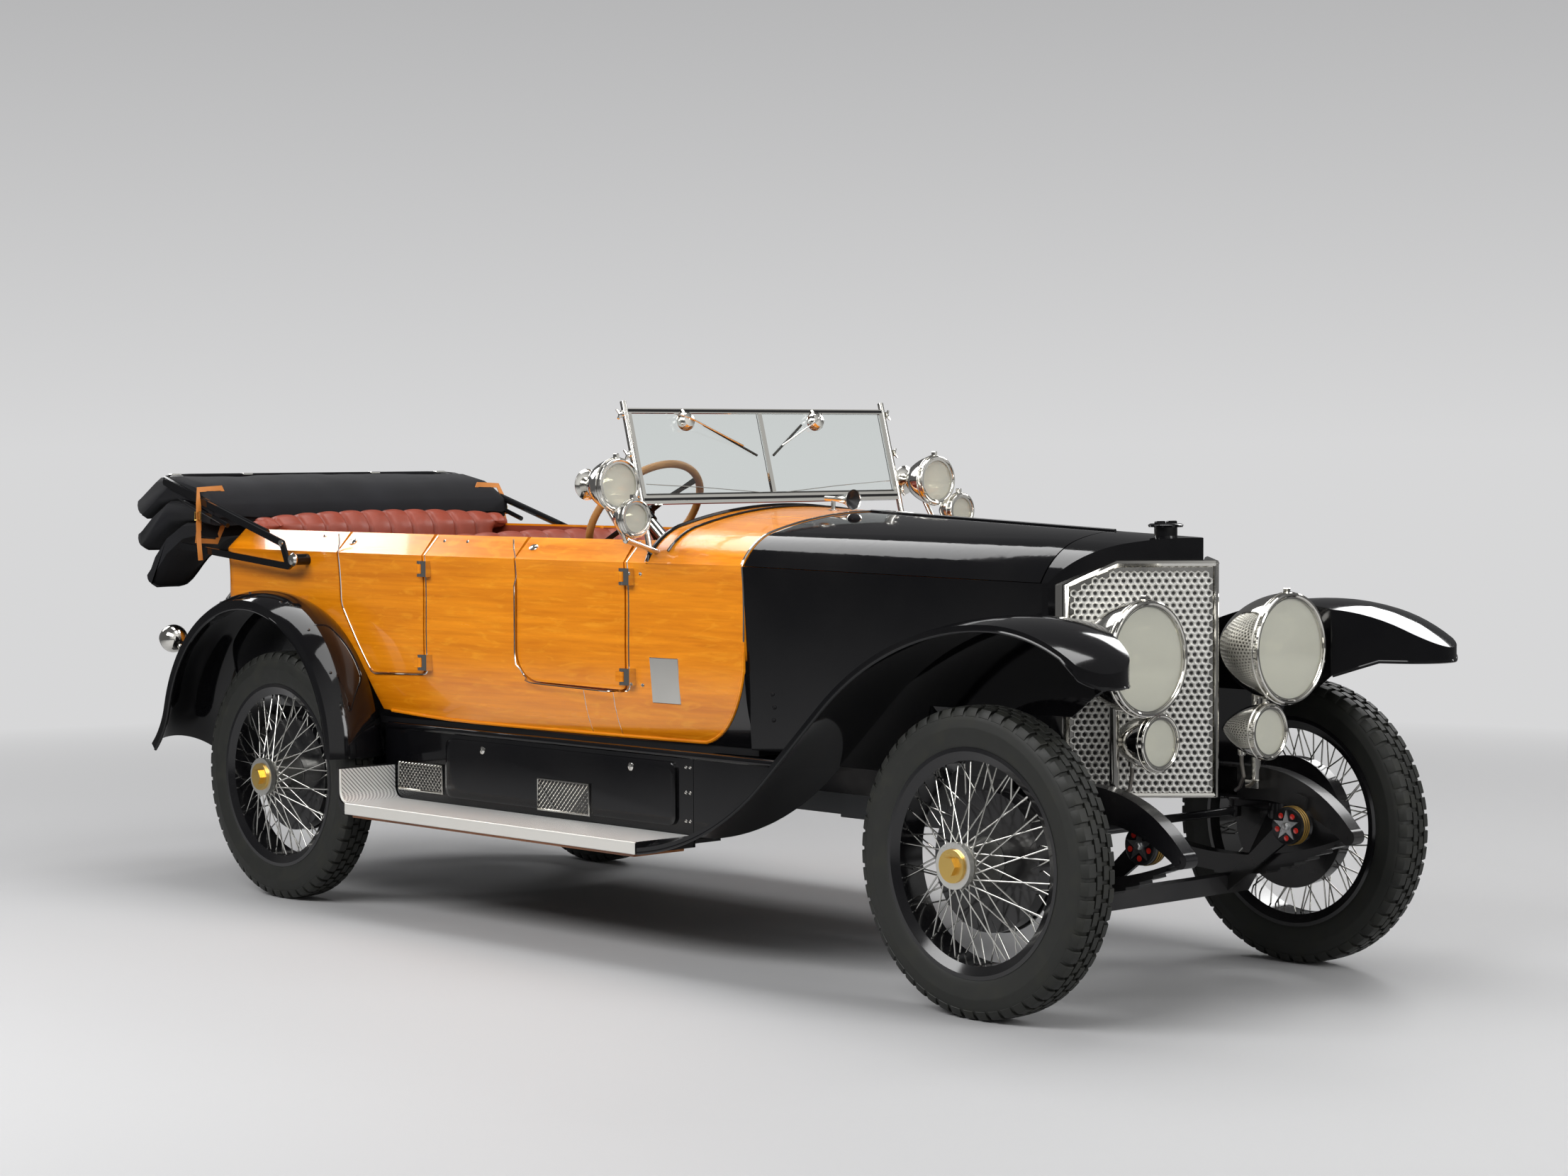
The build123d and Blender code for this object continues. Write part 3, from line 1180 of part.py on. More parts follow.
# Front lamps. Columns: lens x, y, z, lens radius, depth.
front_lamps = ((2243, 321, 1002, 155, 260), (2224, 248, 759, 74, 175))
stand_x = 2120
stand_y = front_lamps[0][1]
stand_foot_z = 580
post_reach = 118
with BuildPart() as front_lamp_stands:
    for hand, side in SIDES:
        for lens_x, lamp_y, lamp_z, radius, depth in front_lamps:
            with BuildSketch(Plane.XZ.offset(-side * lamp_y)):
                with BuildLine():
                    lamp_outside(lens_x, lamp_z, radius, depth)
                make_face()
            revolve(axis=Axis((0, side * lamp_y, lamp_z), (1, 0, 0)))
            with BuildSketch(Plane.XZ.offset(-side * lamp_y)):
                with BuildLine():
                    lamp_inside(lens_x, lamp_z, radius, depth)
                make_face()
            revolve(axis=Axis((0, side * lamp_y, lamp_z), (1, 0, 0)), mode=Mode.SUBTRACT)
        with Locations((stand_x, side * stand_y, stand_foot_z)):
            Cylinder(14, front_lamps[0][2] - post_reach - stand_foot_z,
                     align=(Align.CENTER, Align.CENTER, Align.MIN))
        with Locations((stand_x, side * (rail_inner_y + stand_y - 20) / 2, stand_foot_z + 12)):
            Box(50, rail_inner_y - stand_y + 20, 24)
        arm_end_y = front_lamps[1][1] + 48
        with Locations((stand_x, side * (stand_y + arm_end_y) / 2, front_lamps[1][2])):
            Box(22, stand_y - arm_end_y, 22)
write(front_lamp_stands, "front_lamp_stands")

# Scuttle lamps on curved brackets from the scuttle's sides. Columns as for the front lamps.
scuttle_lamps_table = ((408, 716, 1484, 75, 150), (508, 733, 1381, 51, 104))
bracket_foot_x = 430
with BuildPart() as scuttle_lamps:
    for hand, side in SIDES:
        for lens_x, lamp_y, lamp_z, radius, depth in scuttle_lamps_table:
            with BuildSketch(Plane.XZ.offset(-side * lamp_y)):
                with BuildLine():
                    lamp_outside(lens_x, lamp_z, radius, depth)
                make_face()
            revolve(axis=Axis((0, side * lamp_y, lamp_z), (1, 0, 0)))
            with BuildSketch(Plane.XZ.offset(-side * lamp_y)):
                with BuildLine():
                    lamp_inside(lens_x, lamp_z, radius, depth)
                make_face()
            revolve(axis=Axis((0, side * lamp_y, lamp_z), (1, 0, 0)), mode=Mode.SUBTRACT)
        lower_lamp = scuttle_lamps_table[1]
        upper_lamp = scuttle_lamps_table[0]
        bracket_mid = Vector(bracket_foot_x, side * (lower_lamp[1] - 30), 1310)
        for start, end in (
                (Vector(bracket_foot_x, side * 560, 1265), bracket_mid),
                (bracket_mid, Vector(lower_lamp[0] - 60, side * lower_lamp[1], lower_lamp[2] - 34)),
                (bracket_mid, Vector(upper_lamp[0] - 62, side * upper_lamp[1], upper_lamp[2] - 62))):
            with Locations(Plane(origin=start, z_dir=end - start)):
                Cylinder(9, (end - start).length, align=(Align.CENTER, Align.CENTER, Align.MIN))
        with Locations(bracket_mid):
            Sphere(12)
    add(scuttle.part, mode=Mode.SUBTRACT)
    add(body_shell.part, mode=Mode.SUBTRACT)
write(scuttle_lamps, "scuttle_lamps")

# Lenses of all forward lamps, each in its rim.
lens_thickness = 8
with BuildPart() as lamp_lenses:
    for hand, side in SIDES:
        for lens_x, lamp_y, lamp_z, radius, depth in front_lamps + scuttle_lamps_table:
            with Locations(Plane(origin=(lens_x, side * lamp_y, lamp_z), z_dir=(-1, 0, 0))):
                Cylinder(radius - seat_clearance, lens_thickness, align=(Align.CENTER, Align.CENTER, Align.MIN))
write(lamp_lenses, "lamp_lenses")

# Tail lamps: round bodies on stems that stand on the rear fenders.
tail_lamp_x = -2104
tail_lamp_y = 760
tail_lamp_z = 898
tail_lamp_radius = 52
tail_lamps_places = [Vector(tail_lamp_x, side * tail_lamp_y, tail_lamp_z) for hand, side in SIDES]
with BuildPart() as tail_lamps:
    inward = Vector(arch_x - tail_lamp_x, 0, arch_z - tail_lamp_z)
    for lamp_centre in tail_lamps_places:
        with Locations(Plane(origin=lamp_centre, z_dir=inward)):
            Cylinder(11, inward.length - arch_radius + 4, align=(Align.CENTER, Align.CENTER, Align.MIN))
    add(rear_fenders.part, mode=Mode.SUBTRACT)
    with Locations(tail_lamps_places):
        Sphere(tail_lamp_radius)
write(tail_lamps, "tail_lamps")

# Folded hood: a roll across the car behind the seats, with hanging lobes outside the spare wheel.
hood_half_width = 690
lobe_inner_y = 480
roll_foot_z = 1190
with BuildPart() as folded_hood:
    with BuildSketch(Plane.XZ):
        with BuildLine():
            hood_front_x = body_tail_x + 60
            hood_back_x = 5 - front_end_x
            rest_z = rail_line_z + seat_clearance
            FilletPolyline((hood_front_x, rest_z), (body_tail_x - 12, rest_z), (body_tail_x - 12, roll_foot_z),
                           (hood_back_x + 22, roll_foot_z), (hood_back_x, 1330), (hood_back_x + 70, 1450),
                           (hood_back_x + 220, 1500), (hood_back_x + 440, 1480), (hood_front_x, 1400),
                           radius=[0, 0, 0, 30, 60, 60, 80, 80, 30], close=True)
        make_face()
    extrude(amount=hood_half_width, both=True)
    for hand, side in SIDES:
        with BuildSketch(Plane.XZ.offset(-side * (lobe_inner_y + hood_half_width) / 2)):
            with BuildLine():
                FilletPolyline((body_tail_x - 112, roll_foot_z + 20), (hood_back_x + 40, roll_foot_z + 20),
                               (hood_back_x + 60, 1120), (hood_back_x + 150, 1056), (hood_back_x + 260, 1064),
                               (body_tail_x - 152, 1150), radius=[0, 0, 40, 40, 40, 20], close=True)
            make_face()
        extrude(amount=(hood_half_width - lobe_inner_y) / 2, both=True)
write(folded_hood, "folded_hood")

# Hood irons: flat bars on a knob at the body's side, lying along the roll's ends.
iron_inner_y = hood_half_width + seat_clearance
iron_thickness = 10
with BuildPart() as hood_irons:
    for hand, side in SIDES:
        with BuildSketch(Plane.XZ.offset(-side * (iron_inner_y + iron_thickness / 2))):
            # Columns: start x, start z, end x, end z of each bar.
            for start_x, start_z, end_x, end_z in ((-1403, 1206, -1446, 1181), (-1446, 1181, -1483, 1262),
                                                   (-1483, 1262, -2250, 1476), (-1446, 1181, -2140, 1240)):
                with BuildLine():
                    Line((start_x, start_z), (end_x, end_z))
                    offset(amount=12)
                make_face()
        extrude(amount=iron_thickness / 2, both=True)
        with Locations(Plane(origin=(-1403, side * 625, 1206), z_dir=(0, side, 0))):
            Cylinder(20, iron_inner_y + iron_thickness - 625, align=(Align.CENTER, Align.CENTER, Align.MIN))
    add(body_shell.part, mode=Mode.SUBTRACT)
write(hood_irons, "hood_irons")
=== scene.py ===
import logging
import math
from dataclasses import dataclass, replace
from enum import Enum
from typing import Callable, Iterable, Optional, Sequence

import bmesh
import bpy
from mathutils import Matrix, Vector, noise
from mathutils.bvhtree import BVHTree


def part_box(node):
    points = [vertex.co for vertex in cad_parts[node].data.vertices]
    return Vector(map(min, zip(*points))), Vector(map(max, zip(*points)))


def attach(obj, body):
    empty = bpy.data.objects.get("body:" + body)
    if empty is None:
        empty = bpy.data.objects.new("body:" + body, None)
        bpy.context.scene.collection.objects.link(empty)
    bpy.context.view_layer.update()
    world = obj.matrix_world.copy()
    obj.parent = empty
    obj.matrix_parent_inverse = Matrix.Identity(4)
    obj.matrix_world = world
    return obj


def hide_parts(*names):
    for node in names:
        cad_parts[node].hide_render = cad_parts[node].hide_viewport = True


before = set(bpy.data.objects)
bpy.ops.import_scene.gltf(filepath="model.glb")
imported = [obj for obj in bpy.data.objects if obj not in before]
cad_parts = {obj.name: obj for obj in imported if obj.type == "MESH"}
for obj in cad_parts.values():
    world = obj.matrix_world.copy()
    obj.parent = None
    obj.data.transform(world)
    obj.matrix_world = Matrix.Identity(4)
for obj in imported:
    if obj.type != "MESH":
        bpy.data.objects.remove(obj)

log = logging.getLogger("phaeton")
Point = tuple[float, float, float]
Colour = tuple[float, float, float, float]
Profile = Sequence[tuple[float, float]]
CAR = "car"
HAND_WHEEL = "hand_wheel"
DOORS = ("door_front_left", "door_front_right", "door_rear_left", "door_rear_right")
SIDES: tuple[tuple[str, int], ...] = (("left", 1), ("right", -1))
HANDS = (1, -1)
QUARTER = math.pi / 2
CREASE = 35.0
FLOAT, COLOUR, VECTOR = "NodeSocketFloat", "NodeSocketColor", "NodeSocketVector"

# Turned profiles: radius and height of each point.
CAP_SEAT: Profile = ((0.0, 0.0), (0.050, 0.0), (0.052, 0.006), (0.046, 0.010), (0.0, 0.0105))
KEY_PLATE: Profile = ((0.0, -0.001), (0.021, -0.001), (0.021, 0.0025), (0.018, 0.004), (0.0, 0.0042))
BODY_STUD: Profile = ((0.0, 0.0), (0.0065, 0.0), (0.005, 0.003), (0.0, 0.0042))
SIDE_BOLT: Profile = ((0.0, -0.001), (0.007, -0.001), (0.007, 0.002), (0.0045, 0.0042), (0.0, 0.0046))
HORN_BELL: Profile = ((0.0, -0.101), (0.008, -0.10), (0.009, -0.05), (0.013, -0.02), (0.020, 0.005),
                      (0.029, 0.022), (0.033, 0.026), (0.0335, 0.028), (0.031, 0.027), (0.019, 0.002),
                      (0.010, -0.03), (0.0, -0.035))
HORN_FOOT: Profile = ((0.0, -0.002), (0.018, -0.002), (0.018, 0.003), (0.0, 0.004))
HORN_THROAT: Profile = ((0.0, 0.004), (0.0185, 0.0045), (0.0300, 0.0262), (0.0, 0.0055))
LAMP_BACK: Profile = ((0.0, 0.0), (0.030, 0.002), (0.046, 0.012), (0.050, 0.016), (0.048, 0.020),
                      (0.0, 0.0205))
# The bulb is given in shares of its lamp's radius.
BULB: Profile = ((0.0, -0.85), (0.14, -0.84), (0.15, -0.5), (0.08, -0.42), (0.09, -0.30), (0.0, -0.22))
# The rest are in metres again.
LEAD_GLAND: Profile = ((0.0, 0.0), (0.012, 0.0), (0.012, 0.022), (0.009, 0.026), (0.0, 0.027))
TAIL_LENS: Profile = ((0.0, -0.004), (0.030, -0.004), (0.030, 0.004), (0.022, 0.010), (0.0, 0.014))
WIPER_MOTOR: Profile = ((0.0, 0.0), (0.030, 0.0), (0.032, 0.006), (0.030, 0.020), (0.022, 0.030),
                        (0.0, 0.034))
WING_NUT: Profile = ((0.0, 0.0), (0.011, 0.0), (0.011, 0.008), (0.006, 0.012), (0.0, 0.013))
IRON_KNOB: Profile = ((0.0, 0.0), (0.022, 0.0), (0.024, 0.006), (0.018, 0.014), (0.0, 0.018))
IRON_PIN: Profile = ((0.0, 0.0), (0.012, 0.0), (0.012, 0.005), (0.0, 0.008))
RIVET: Profile = ((0.0, 0.0), (0.006, 0.0), (0.004, 0.003), (0.0, 0.004))
LID_LOCK: Profile = ((0.0, 0.0), (0.013, 0.0), (0.013, 0.002), (0.010, 0.0035), (0.0, 0.004))
STEERING_HUB: Profile = ((0.0, -0.039), (0.024, -0.039), (0.026, -0.012), (0.034, -0.008), (0.035, 0.008),
                         (0.026, 0.014), (0.0, 0.015))
STEERING_BOSS: Profile = ((0.0, 0.014), (0.018, 0.014), (0.018, 0.020), (0.012, 0.026), (0.0, 0.028))
LEVER_KNOB: Profile = ((0.0, 0.0), (0.012, 0.002), (0.018, 0.02), (0.016, 0.036), (0.0, 0.042))
DAMPER_FACE: Profile = ((0.0, 0.0), (0.055, 0.0), (0.055, 0.003), (0.050, 0.0045), (0.0, 0.0045))
DAMPER_NUT: Profile = ((0.0, 0.008), (0.012, 0.008), (0.012, 0.014), (0.008, 0.017), (0.0, 0.0175))
RED_SPOT: Profile = ((0.0, -0.001), (0.0085, -0.001), (0.0085, 0.001), (0.0, 0.0018))
# Half sections of the tyre: radius and half width of the casing, then half width and radius of the blocks.
TYRE_HALF: Profile = ((0.312, 0.050), (0.3255, 0.0585), (0.336, 0.0612), (0.352, 0.0648), (0.376, 0.0668),
                      (0.378, 0.0672), (0.382, 0.0672), (0.384, 0.0667), (0.400, 0.0650), (0.414, 0.0610),
                      (0.4235, 0.0556), (0.4285, 0.0480), (0.4315, 0.0300), (0.4325, 0.0))
SHOULDER_BLOCK: Profile = ((0.0285, 0.4396), (0.0420, 0.4386), (0.0515, 0.4360), (0.0585, 0.4275),
                           (0.0625, 0.4140))
RIB_BLOCK: Profile = ((0.0035, 0.4400), (0.0130, 0.4400), (0.0235, 0.4397))


class Effect(Enum):
    """The kinds of surface that the finishes are made from."""

    PAINT = "paint"
    METAL = "metal"
    WOOD = "wood"
    LEATHER = "leather"
    CLOTH = "cloth"
    RUBBER = "rubber"


class Graph:
    """A node tree with short calls for adding and joining nodes."""

    def __init__(self, tree: bpy.types.NodeTree) -> None:
        """Keeps the tree."""
        self.tree = tree

    def feed(self, node: bpy.types.Node, values: dict) -> None:
        """Sets a node's inputs.

        Args:
            node: The node.
            values: Input name or index to a number, a colour or another node's socket.
        """
        for key, value in values.items():
            if isinstance(value, bpy.types.NodeSocket):
                self.tree.links.new(value, node.inputs[key])
            else:
                node.inputs[key].default_value = value

    def add(self, kind: str, values: Optional[dict] = None, **settings: object) -> bpy.types.Node:
        """Adds a node.

        Args:
            kind: The node's type name.
            values: What its inputs are fed with.
            settings: Properties of the node.

        Returns:
            The new node.
        """
        node = self.tree.nodes.new(kind)
        for key, value in settings.items():
            setattr(node, key, value)
        self.feed(node, values or {})
        return node

    def math(self, operation: str, first: object, second: object = 0.0) -> bpy.types.NodeSocket:
        """Adds a Math node and returns its output."""
        return self.add("ShaderNodeMath", {0: first, 1: second}, operation=operation).outputs[0]

    def plus(self, first: object, second: object) -> bpy.types.NodeSocket:
        """Returns the sum of two values."""
        return self.math("ADD", first, second)

    def minus(self, first: object, second: object) -> bpy.types.NodeSocket:
        """Returns the first value less the second."""
        return self.math("SUBTRACT", first, second)

    def times(self, first: object, second: object) -> bpy.types.NodeSocket:
        """Returns the product of two values."""
        return self.math("MULTIPLY", first, second)

    def reach(self, first: object, second: object) -> bpy.types.NodeSocket:
        """Returns the length of the arm with two given parts."""
        return self.math("SQRT", self.plus(self.times(first, first), self.times(second, second)))

    def vector(self, operation: str, first: object, second: object = (0, 0, 0)) -> bpy.types.Node:
        """Adds a Vector Math node and returns it."""
        return self.add("ShaderNodeVectorMath", {0: first, 1: second}, operation=operation)

    def mix(self, factor: object, first: object, second: object) -> bpy.types.NodeSocket:
        """Adds a colour mix and returns its output."""
        return self.add("ShaderNodeMix", {0: factor, 6: first, 7: second}, data_type="RGBA").outputs[2]

    def ramp(self, factor: object, low: float, high: float) -> bpy.types.NodeSocket:
        """Adds a clamped map from low..high to 0..1 and returns its output."""
        return self.add("ShaderNodeMapRange", {0: factor, 1: low, 2: high}).outputs[0]

    def mask(self, factor: object, low: float, high: float, share: object) -> bpy.types.NodeSocket:
        """Returns a clamped map from low..high to 0..share."""
        return self.times(self.ramp(factor, low, high), share)

    def coords(self, kind: str = "Object") -> bpy.types.NodeSocket:
        """Returns one kind of texture coordinates."""
        return self.add("ShaderNodeTexCoord").outputs[kind]

    def axes(self, kind: str = "Object") -> bpy.types.NodeOutputs:
        """Returns the x, y and z of one kind of texture coordinates."""
        return self.add("ShaderNodeSeparateXYZ", {0: self.coords(kind)}).outputs

    def place(self, scale: Point = (1, 1, 1)) -> bpy.types.NodeSocket:
        """Returns the object's own coordinates, stretched by the scale."""
        return self.add("ShaderNodeMapping", {"Vector": self.coords(), "Scale": scale}).outputs[0]

    def noise(self, vector: object, scale: float, detail: float = 4.0,
              bend: float = 0.0) -> bpy.types.NodeSocket:
        """Adds a noise texture and returns its value."""
        values = {"Vector": vector, "Scale": scale, "Detail": detail, "Distortion": bend}
        return self.add("ShaderNodeTexNoise", values).outputs[0]

    def bump(self, strength: float, distance: float, height: object) -> bpy.types.NodeSocket:
        """Adds a bump and returns its normal."""
        values = {"Strength": strength, "Distance": distance, "Height": height}
        return self.add("ShaderNodeBump", values).outputs[0]


class EffectGroup:
    """A shared surface effect, kept as a shader node group that is built once."""

    def __init__(self, name: str, inputs: Sequence[tuple[str, str, object]],
                 outputs: Sequence[tuple[str, str]], build: Callable[[Graph, dict], dict]) -> None:
        """Makes the group.

        Args:
            name: The group's name.
            inputs: Name, socket kind and default of each input.
            outputs: Name and socket kind of each output.
            build: Fills the group from its input sockets and returns the sockets of its outputs.
        """
        self.tree = bpy.data.node_groups.new(name, "ShaderNodeTree")
        for label, kind, default in inputs:
            socket = self.tree.interface.new_socket(label, in_out="INPUT", socket_type=kind)
            socket.default_value = default
        for label, kind in outputs:
            self.tree.interface.new_socket(label, in_out="OUTPUT", socket_type=kind)
        graph = Graph(self.tree)
        entry = self.tree.nodes.new("NodeGroupInput")
        results = build(graph, {label: entry.outputs[label] for label, _, _ in inputs})
        graph.add("NodeGroupOutput", results)

    def use(self, graph: Graph, values: Optional[dict] = None) -> bpy.types.NodeOutputs:
        """Places the group in a material.

        Args:
            graph: The material's graph.
            values: Input name to value.

        Returns:
            The outputs of the group node.
        """
        node = graph.tree.nodes.new("ShaderNodeGroup")
        node.node_tree = self.tree
        graph.feed(node, values or {})
        return node.outputs


def _surface(g: Graph, i: dict, color: object, dull: object, height: object) -> dict:
    """Gathers a surface group's outputs, with the gloss dulled by a mask."""
    return {"Color": color, "Roughness": g.plus(i["Gloss"], dull), "Height": height}


def _paint(g: Graph, i: dict) -> dict:
    """Fills the lacquer group: faint dust, cloudy polish and a trace of orange peel.

    Args:
        g: The group's graph.
        i: Its input sockets by name.

    Returns:
        Its output values by name.
    """
    spot = g.noise(g.place(), 3.0, 5.0)
    color = g.mix(g.mask(spot, 0.42, 0.8, i["Dust"]), i["Tint"], (0.34, 0.32, 0.29, 1))
    return _surface(g, i, color, g.mask(spot, 0.3, 0.8, 0.06), g.noise(g.place(), 420.0, 2.0))


def _metal(g: Graph, i: dict) -> dict:
    """Fills the plated metal group: hairline polish marks and cloudy tarnish.

    Args:
        g: The group's graph.
        i: Its input sockets by name.

    Returns:
        Its output values by name.
    """
    cloud = g.noise(g.place(), 9.0, 5.0)
    color = g.mix(g.mask(cloud, 0.5, 0.85, i["Tarnish"]), i["Tint"], (0.30, 0.25, 0.18, 1))
    return _surface(g, i, color, g.mask(cloud, 0.35, 0.8, 0.09), g.noise(g.place((30, 30, 260)), 8.0, 2.0))


def _wood(g: Graph, i: dict) -> dict:
    """Fills the varnished wood group: long bands, wavy figure and short dark pores.

    Args:
        g: The group's graph.
        i: Its input sockets by name.

    Returns:
        Its output values by name.
    """
    bands = g.noise(g.place((0.55, 5.0, 9.0)), 2.6, 6.0, 0.9)
    figure = g.noise(g.place((2.2, 1.5, 11.0)), 3.2, 3.0, 1.6)
    pores = g.noise(g.place((9.0, 150.0, 190.0)), 3.0, 2.0)
    streak = g.noise(g.place((0.8, 30.0, 46.0)), 2.0, 4.0, 0.3)
    tone = g.plus(g.mask(bands, 0.3, 0.72, 0.62), g.mask(streak, 0.32, 0.7, 0.38))
    figured = g.mix(g.mask(figure, 0.54, 0.72, 0.30), g.mix(tone, i["Dark"], i["Tint"]), i["Light"])
    color = g.mix(g.mask(pores, 0.60, 0.72, 0.34), figured, i["Dark"])
    return _surface(g, i, color, g.mask(bands, 0.3, 0.8, 0.07), pores)


def _leather(g: Graph, i: dict) -> dict:
    """Fills the hide group: pebbled cells, soft creases and rubbed high spots.

    Args:
        g: The group's graph.
        i: Its input sockets by name.

    Returns:
        Its output values by name.
    """
    place = g.place()
    pebbles = {"Vector": place, "Scale": i["Grain"]}
    cells = g.add("ShaderNodeTexVoronoi", pebbles, feature="DISTANCE_TO_EDGE").outputs[0]
    crease = g.noise(place, 14.0, 6.0, 0.6)
    wear = g.noise(place, 5.0, 4.0)
    shade = g.mix(g.plus(g.mask(crease, 0.35, 0.68, 0.30), 0.70), i["Dark"], i["Tint"])
    color = g.mix(g.mask(wear, 0.55, 0.8, 0.15), shade, i["Light"])
    height = g.plus(g.mask(cells, 0.0, 0.22, 0.6), g.times(crease, 0.2))
    return _surface(g, i, color, g.mask(wear, 0.3, 0.8, 0.14), height)


def _cloth(g: Graph, i: dict) -> dict:
    """Fills the woven cloth group: crossing threads with faded patches.

    Args:
        g: The group's graph.
        i: Its input sockets by name.

    Returns:
        Its output values by name.
    """
    place = g.place()
    threads = {"Vector": place, "Scale": i["Grain"]}
    warp, weft = (g.add("ShaderNodeTexWave", threads, bands_direction=axis).outputs[1] for axis in "YZ")
    fade = g.noise(place, 4.0, 5.0)
    color = g.mix(g.mask(fade, 0.4, 0.8, 0.6), i["Tint"], i["Light"])
    return _surface(g, i, color, g.times(fade, 0.1), g.times(warp, weft))


def _rubber(g: Graph, i: dict) -> dict:
    """Fills the tyre group: scuffed grey rubber with fine moulding marks.

    Args:
        g: The group's graph.
        i: Its input sockets by name.

    Returns:
        Its output values by name.
    """
    place = g.place()
    scuff = g.noise(place, 16.0, 6.0)
    color = g.mix(g.mask(scuff, 0.5, 0.82, 0.55), i["Tint"], i["Light"])
    return _surface(g, i, color, g.mask(scuff, 0.3, 0.8, 0.18), g.noise(place, 240.0, 3.0))


def _zones(g: Graph, i: dict) -> dict:
    """Fills the wheel zone group: masks of the rim, hub, cap and drum by their place about the axle.

    Args:
        g: The group's graph.
        i: Its input sockets by name.

    Returns:
        Its output values by name.
    """
    arm = g.vector("SUBTRACT", g.coords(), i["Centre"]).outputs[0]
    flat = g.vector("MULTIPLY", arm, i["Across"]).outputs[0]
    reach = g.vector("LENGTH", flat).outputs["Value"]
    depth = g.vector("DOT_PRODUCT", arm, i["Outward"]).outputs["Value"]
    drum = g.mask(depth, -0.0055, -0.0065, g.ramp(reach, 0.2025, 0.2015))
    return {"Rim": g.ramp(reach, 0.2835, 0.2855), "Hub": g.ramp(reach, 0.0985, 0.0965),
            "Cap": g.ramp(reach, 0.0485, 0.0475), "Drum": drum}


def _body(g: Graph, i: dict) -> dict:
    """Fills the body zone group: masks of the black sill, corner and wheel arch, and of the lined cabin.

    Args:
        g: The group's graph.
        i: Its input sockets by name; not used, as the group has no inputs.

    Returns:
        Its output values by name.
    """
    x, y, z = g.axes()
    bow = g.minus(x, 0.1)
    floor = g.plus(g.times(g.times(bow, bow), 0.025), 0.960)
    ahead = g.math("MAXIMUM", g.math("DIVIDE", g.minus(x, 0.555), 0.26), 0.0)
    under = g.math("MAXIMUM", g.math("DIVIDE", g.minus(floor, z), 0.30), 0.0)
    arch = g.reach(g.plus(x, 1.515), g.minus(z, 0.530))
    facing = g.times(g.axes("Normal")[1], y)
    wheel = g.mask(facing, 0.0, 0.02, g.ramp(arch, 0.535, 0.531))
    lined = g.mask(facing, -0.28, -0.32, g.ramp(z, 1.299, 1.297))
    return {"Black": g.math("MAXIMUM", g.ramp(g.reach(ahead, under), 0.997, 1.003), wheel), "Lined": lined}


def _holes(g: Graph, i: dict) -> dict:
    """Fills the perforated sheet group: a mask of staggered round holes, which the finish paints dark grey as
    painted shade, and its height.

    Args:
        g: The group's graph.
        i: Its input sockets by name.

    Returns:
        Its output values by name.
    """
    x, y, z = g.axes()
    row = g.math("DIVIDE", g.plus(y, z), i["Pitch"])
    shift = g.times(g.math("MODULO", g.math("FLOOR", row), 2.0), 0.5)
    across = g.minus(g.math("FRACT", g.plus(g.math("DIVIDE", x, i["Pitch"]), shift)), 0.5)
    along = g.minus(g.math("FRACT", row), 0.5)
    reach = g.reach(across, along)
    return {"Mask": g.ramp(reach, 0.30, 0.26), "Height": g.ramp(reach, 0.26, 0.34)}


SURFACE_OUTPUTS = (("Color", COLOUR), ("Roughness", FLOAT), ("Height", FLOAT))
TINTS = (("Tint", COLOUR, (0.5, 0.5, 0.5, 1)), ("Gloss", FLOAT, 0.3))
SHADES = TINTS + (("Light", COLOUR, (0.6, 0.6, 0.6, 1)), ("Dark", COLOUR, (0.2, 0.2, 0.2, 1)),
                  ("Grain", FLOAT, 300.0))
GROUPS: dict[Effect, EffectGroup] = {
    Effect.PAINT: EffectGroup("lacquer_depth", TINTS + (("Dust", FLOAT, 0.05),), SURFACE_OUTPUTS, _paint),
    Effect.METAL: EffectGroup("plated_polish", TINTS + (("Tarnish", FLOAT, 0.1),), SURFACE_OUTPUTS, _metal),
    Effect.WOOD: EffectGroup("varnished_grain", SHADES, SURFACE_OUTPUTS, _wood),
    Effect.LEATHER: EffectGroup("hide_grain", SHADES, SURFACE_OUTPUTS, _leather),
    Effect.CLOTH: EffectGroup("cloth_weave", SHADES, SURFACE_OUTPUTS, _cloth),
    Effect.RUBBER: EffectGroup("tyre_scuff", SHADES, SURFACE_OUTPUTS, _rubber),
}
WHEEL_INPUTS = (("Centre", VECTOR, (0, 0, 0)), ("Across", VECTOR, (1, 0, 1)), ("Outward", VECTOR, (0, 1, 0)))
WHEEL_OUTPUTS = (("Rim", FLOAT), ("Hub", FLOAT), ("Cap", FLOAT), ("Drum", FLOAT))
ZONES = EffectGroup("wheel_zones", WHEEL_INPUTS, WHEEL_OUTPUTS, _zones)
BODY = EffectGroup("body_zones", (), (("Black", FLOAT), ("Lined", FLOAT)), _body)
HOLES = EffectGroup("punched_holes", (("Pitch", FLOAT, 0.01),), (("Mask", FLOAT), ("Height", FLOAT)), _holes)


def linear(code: str) -> Colour:
    """Turns a written colour such as A4622C into linear light.

    Args:
        code: Six hexadecimal digits.

    Returns:
        Red, green, blue and 1.
    """
    parts = [int(code[k:k + 2], 16) / 255 for k in (0, 2, 4)]
    light = [p / 12.92 if p <= 0.04045 else ((p + 0.055) / 1.055) ** 2.4 for p in parts]
    return (light[0], light[1], light[2], 1.0)


def blank_material(name: str) -> tuple[bpy.types.Material, Graph, bpy.types.Node]:
    """Makes an empty material.

    Args:
        name: The material's name.

    Returns:
        The material, its graph and its Principled shader.
    """
    made = bpy.data.materials.new(name)
    made.use_nodes = True
    return made, Graph(made.node_tree), made.node_tree.nodes["Principled BSDF"]


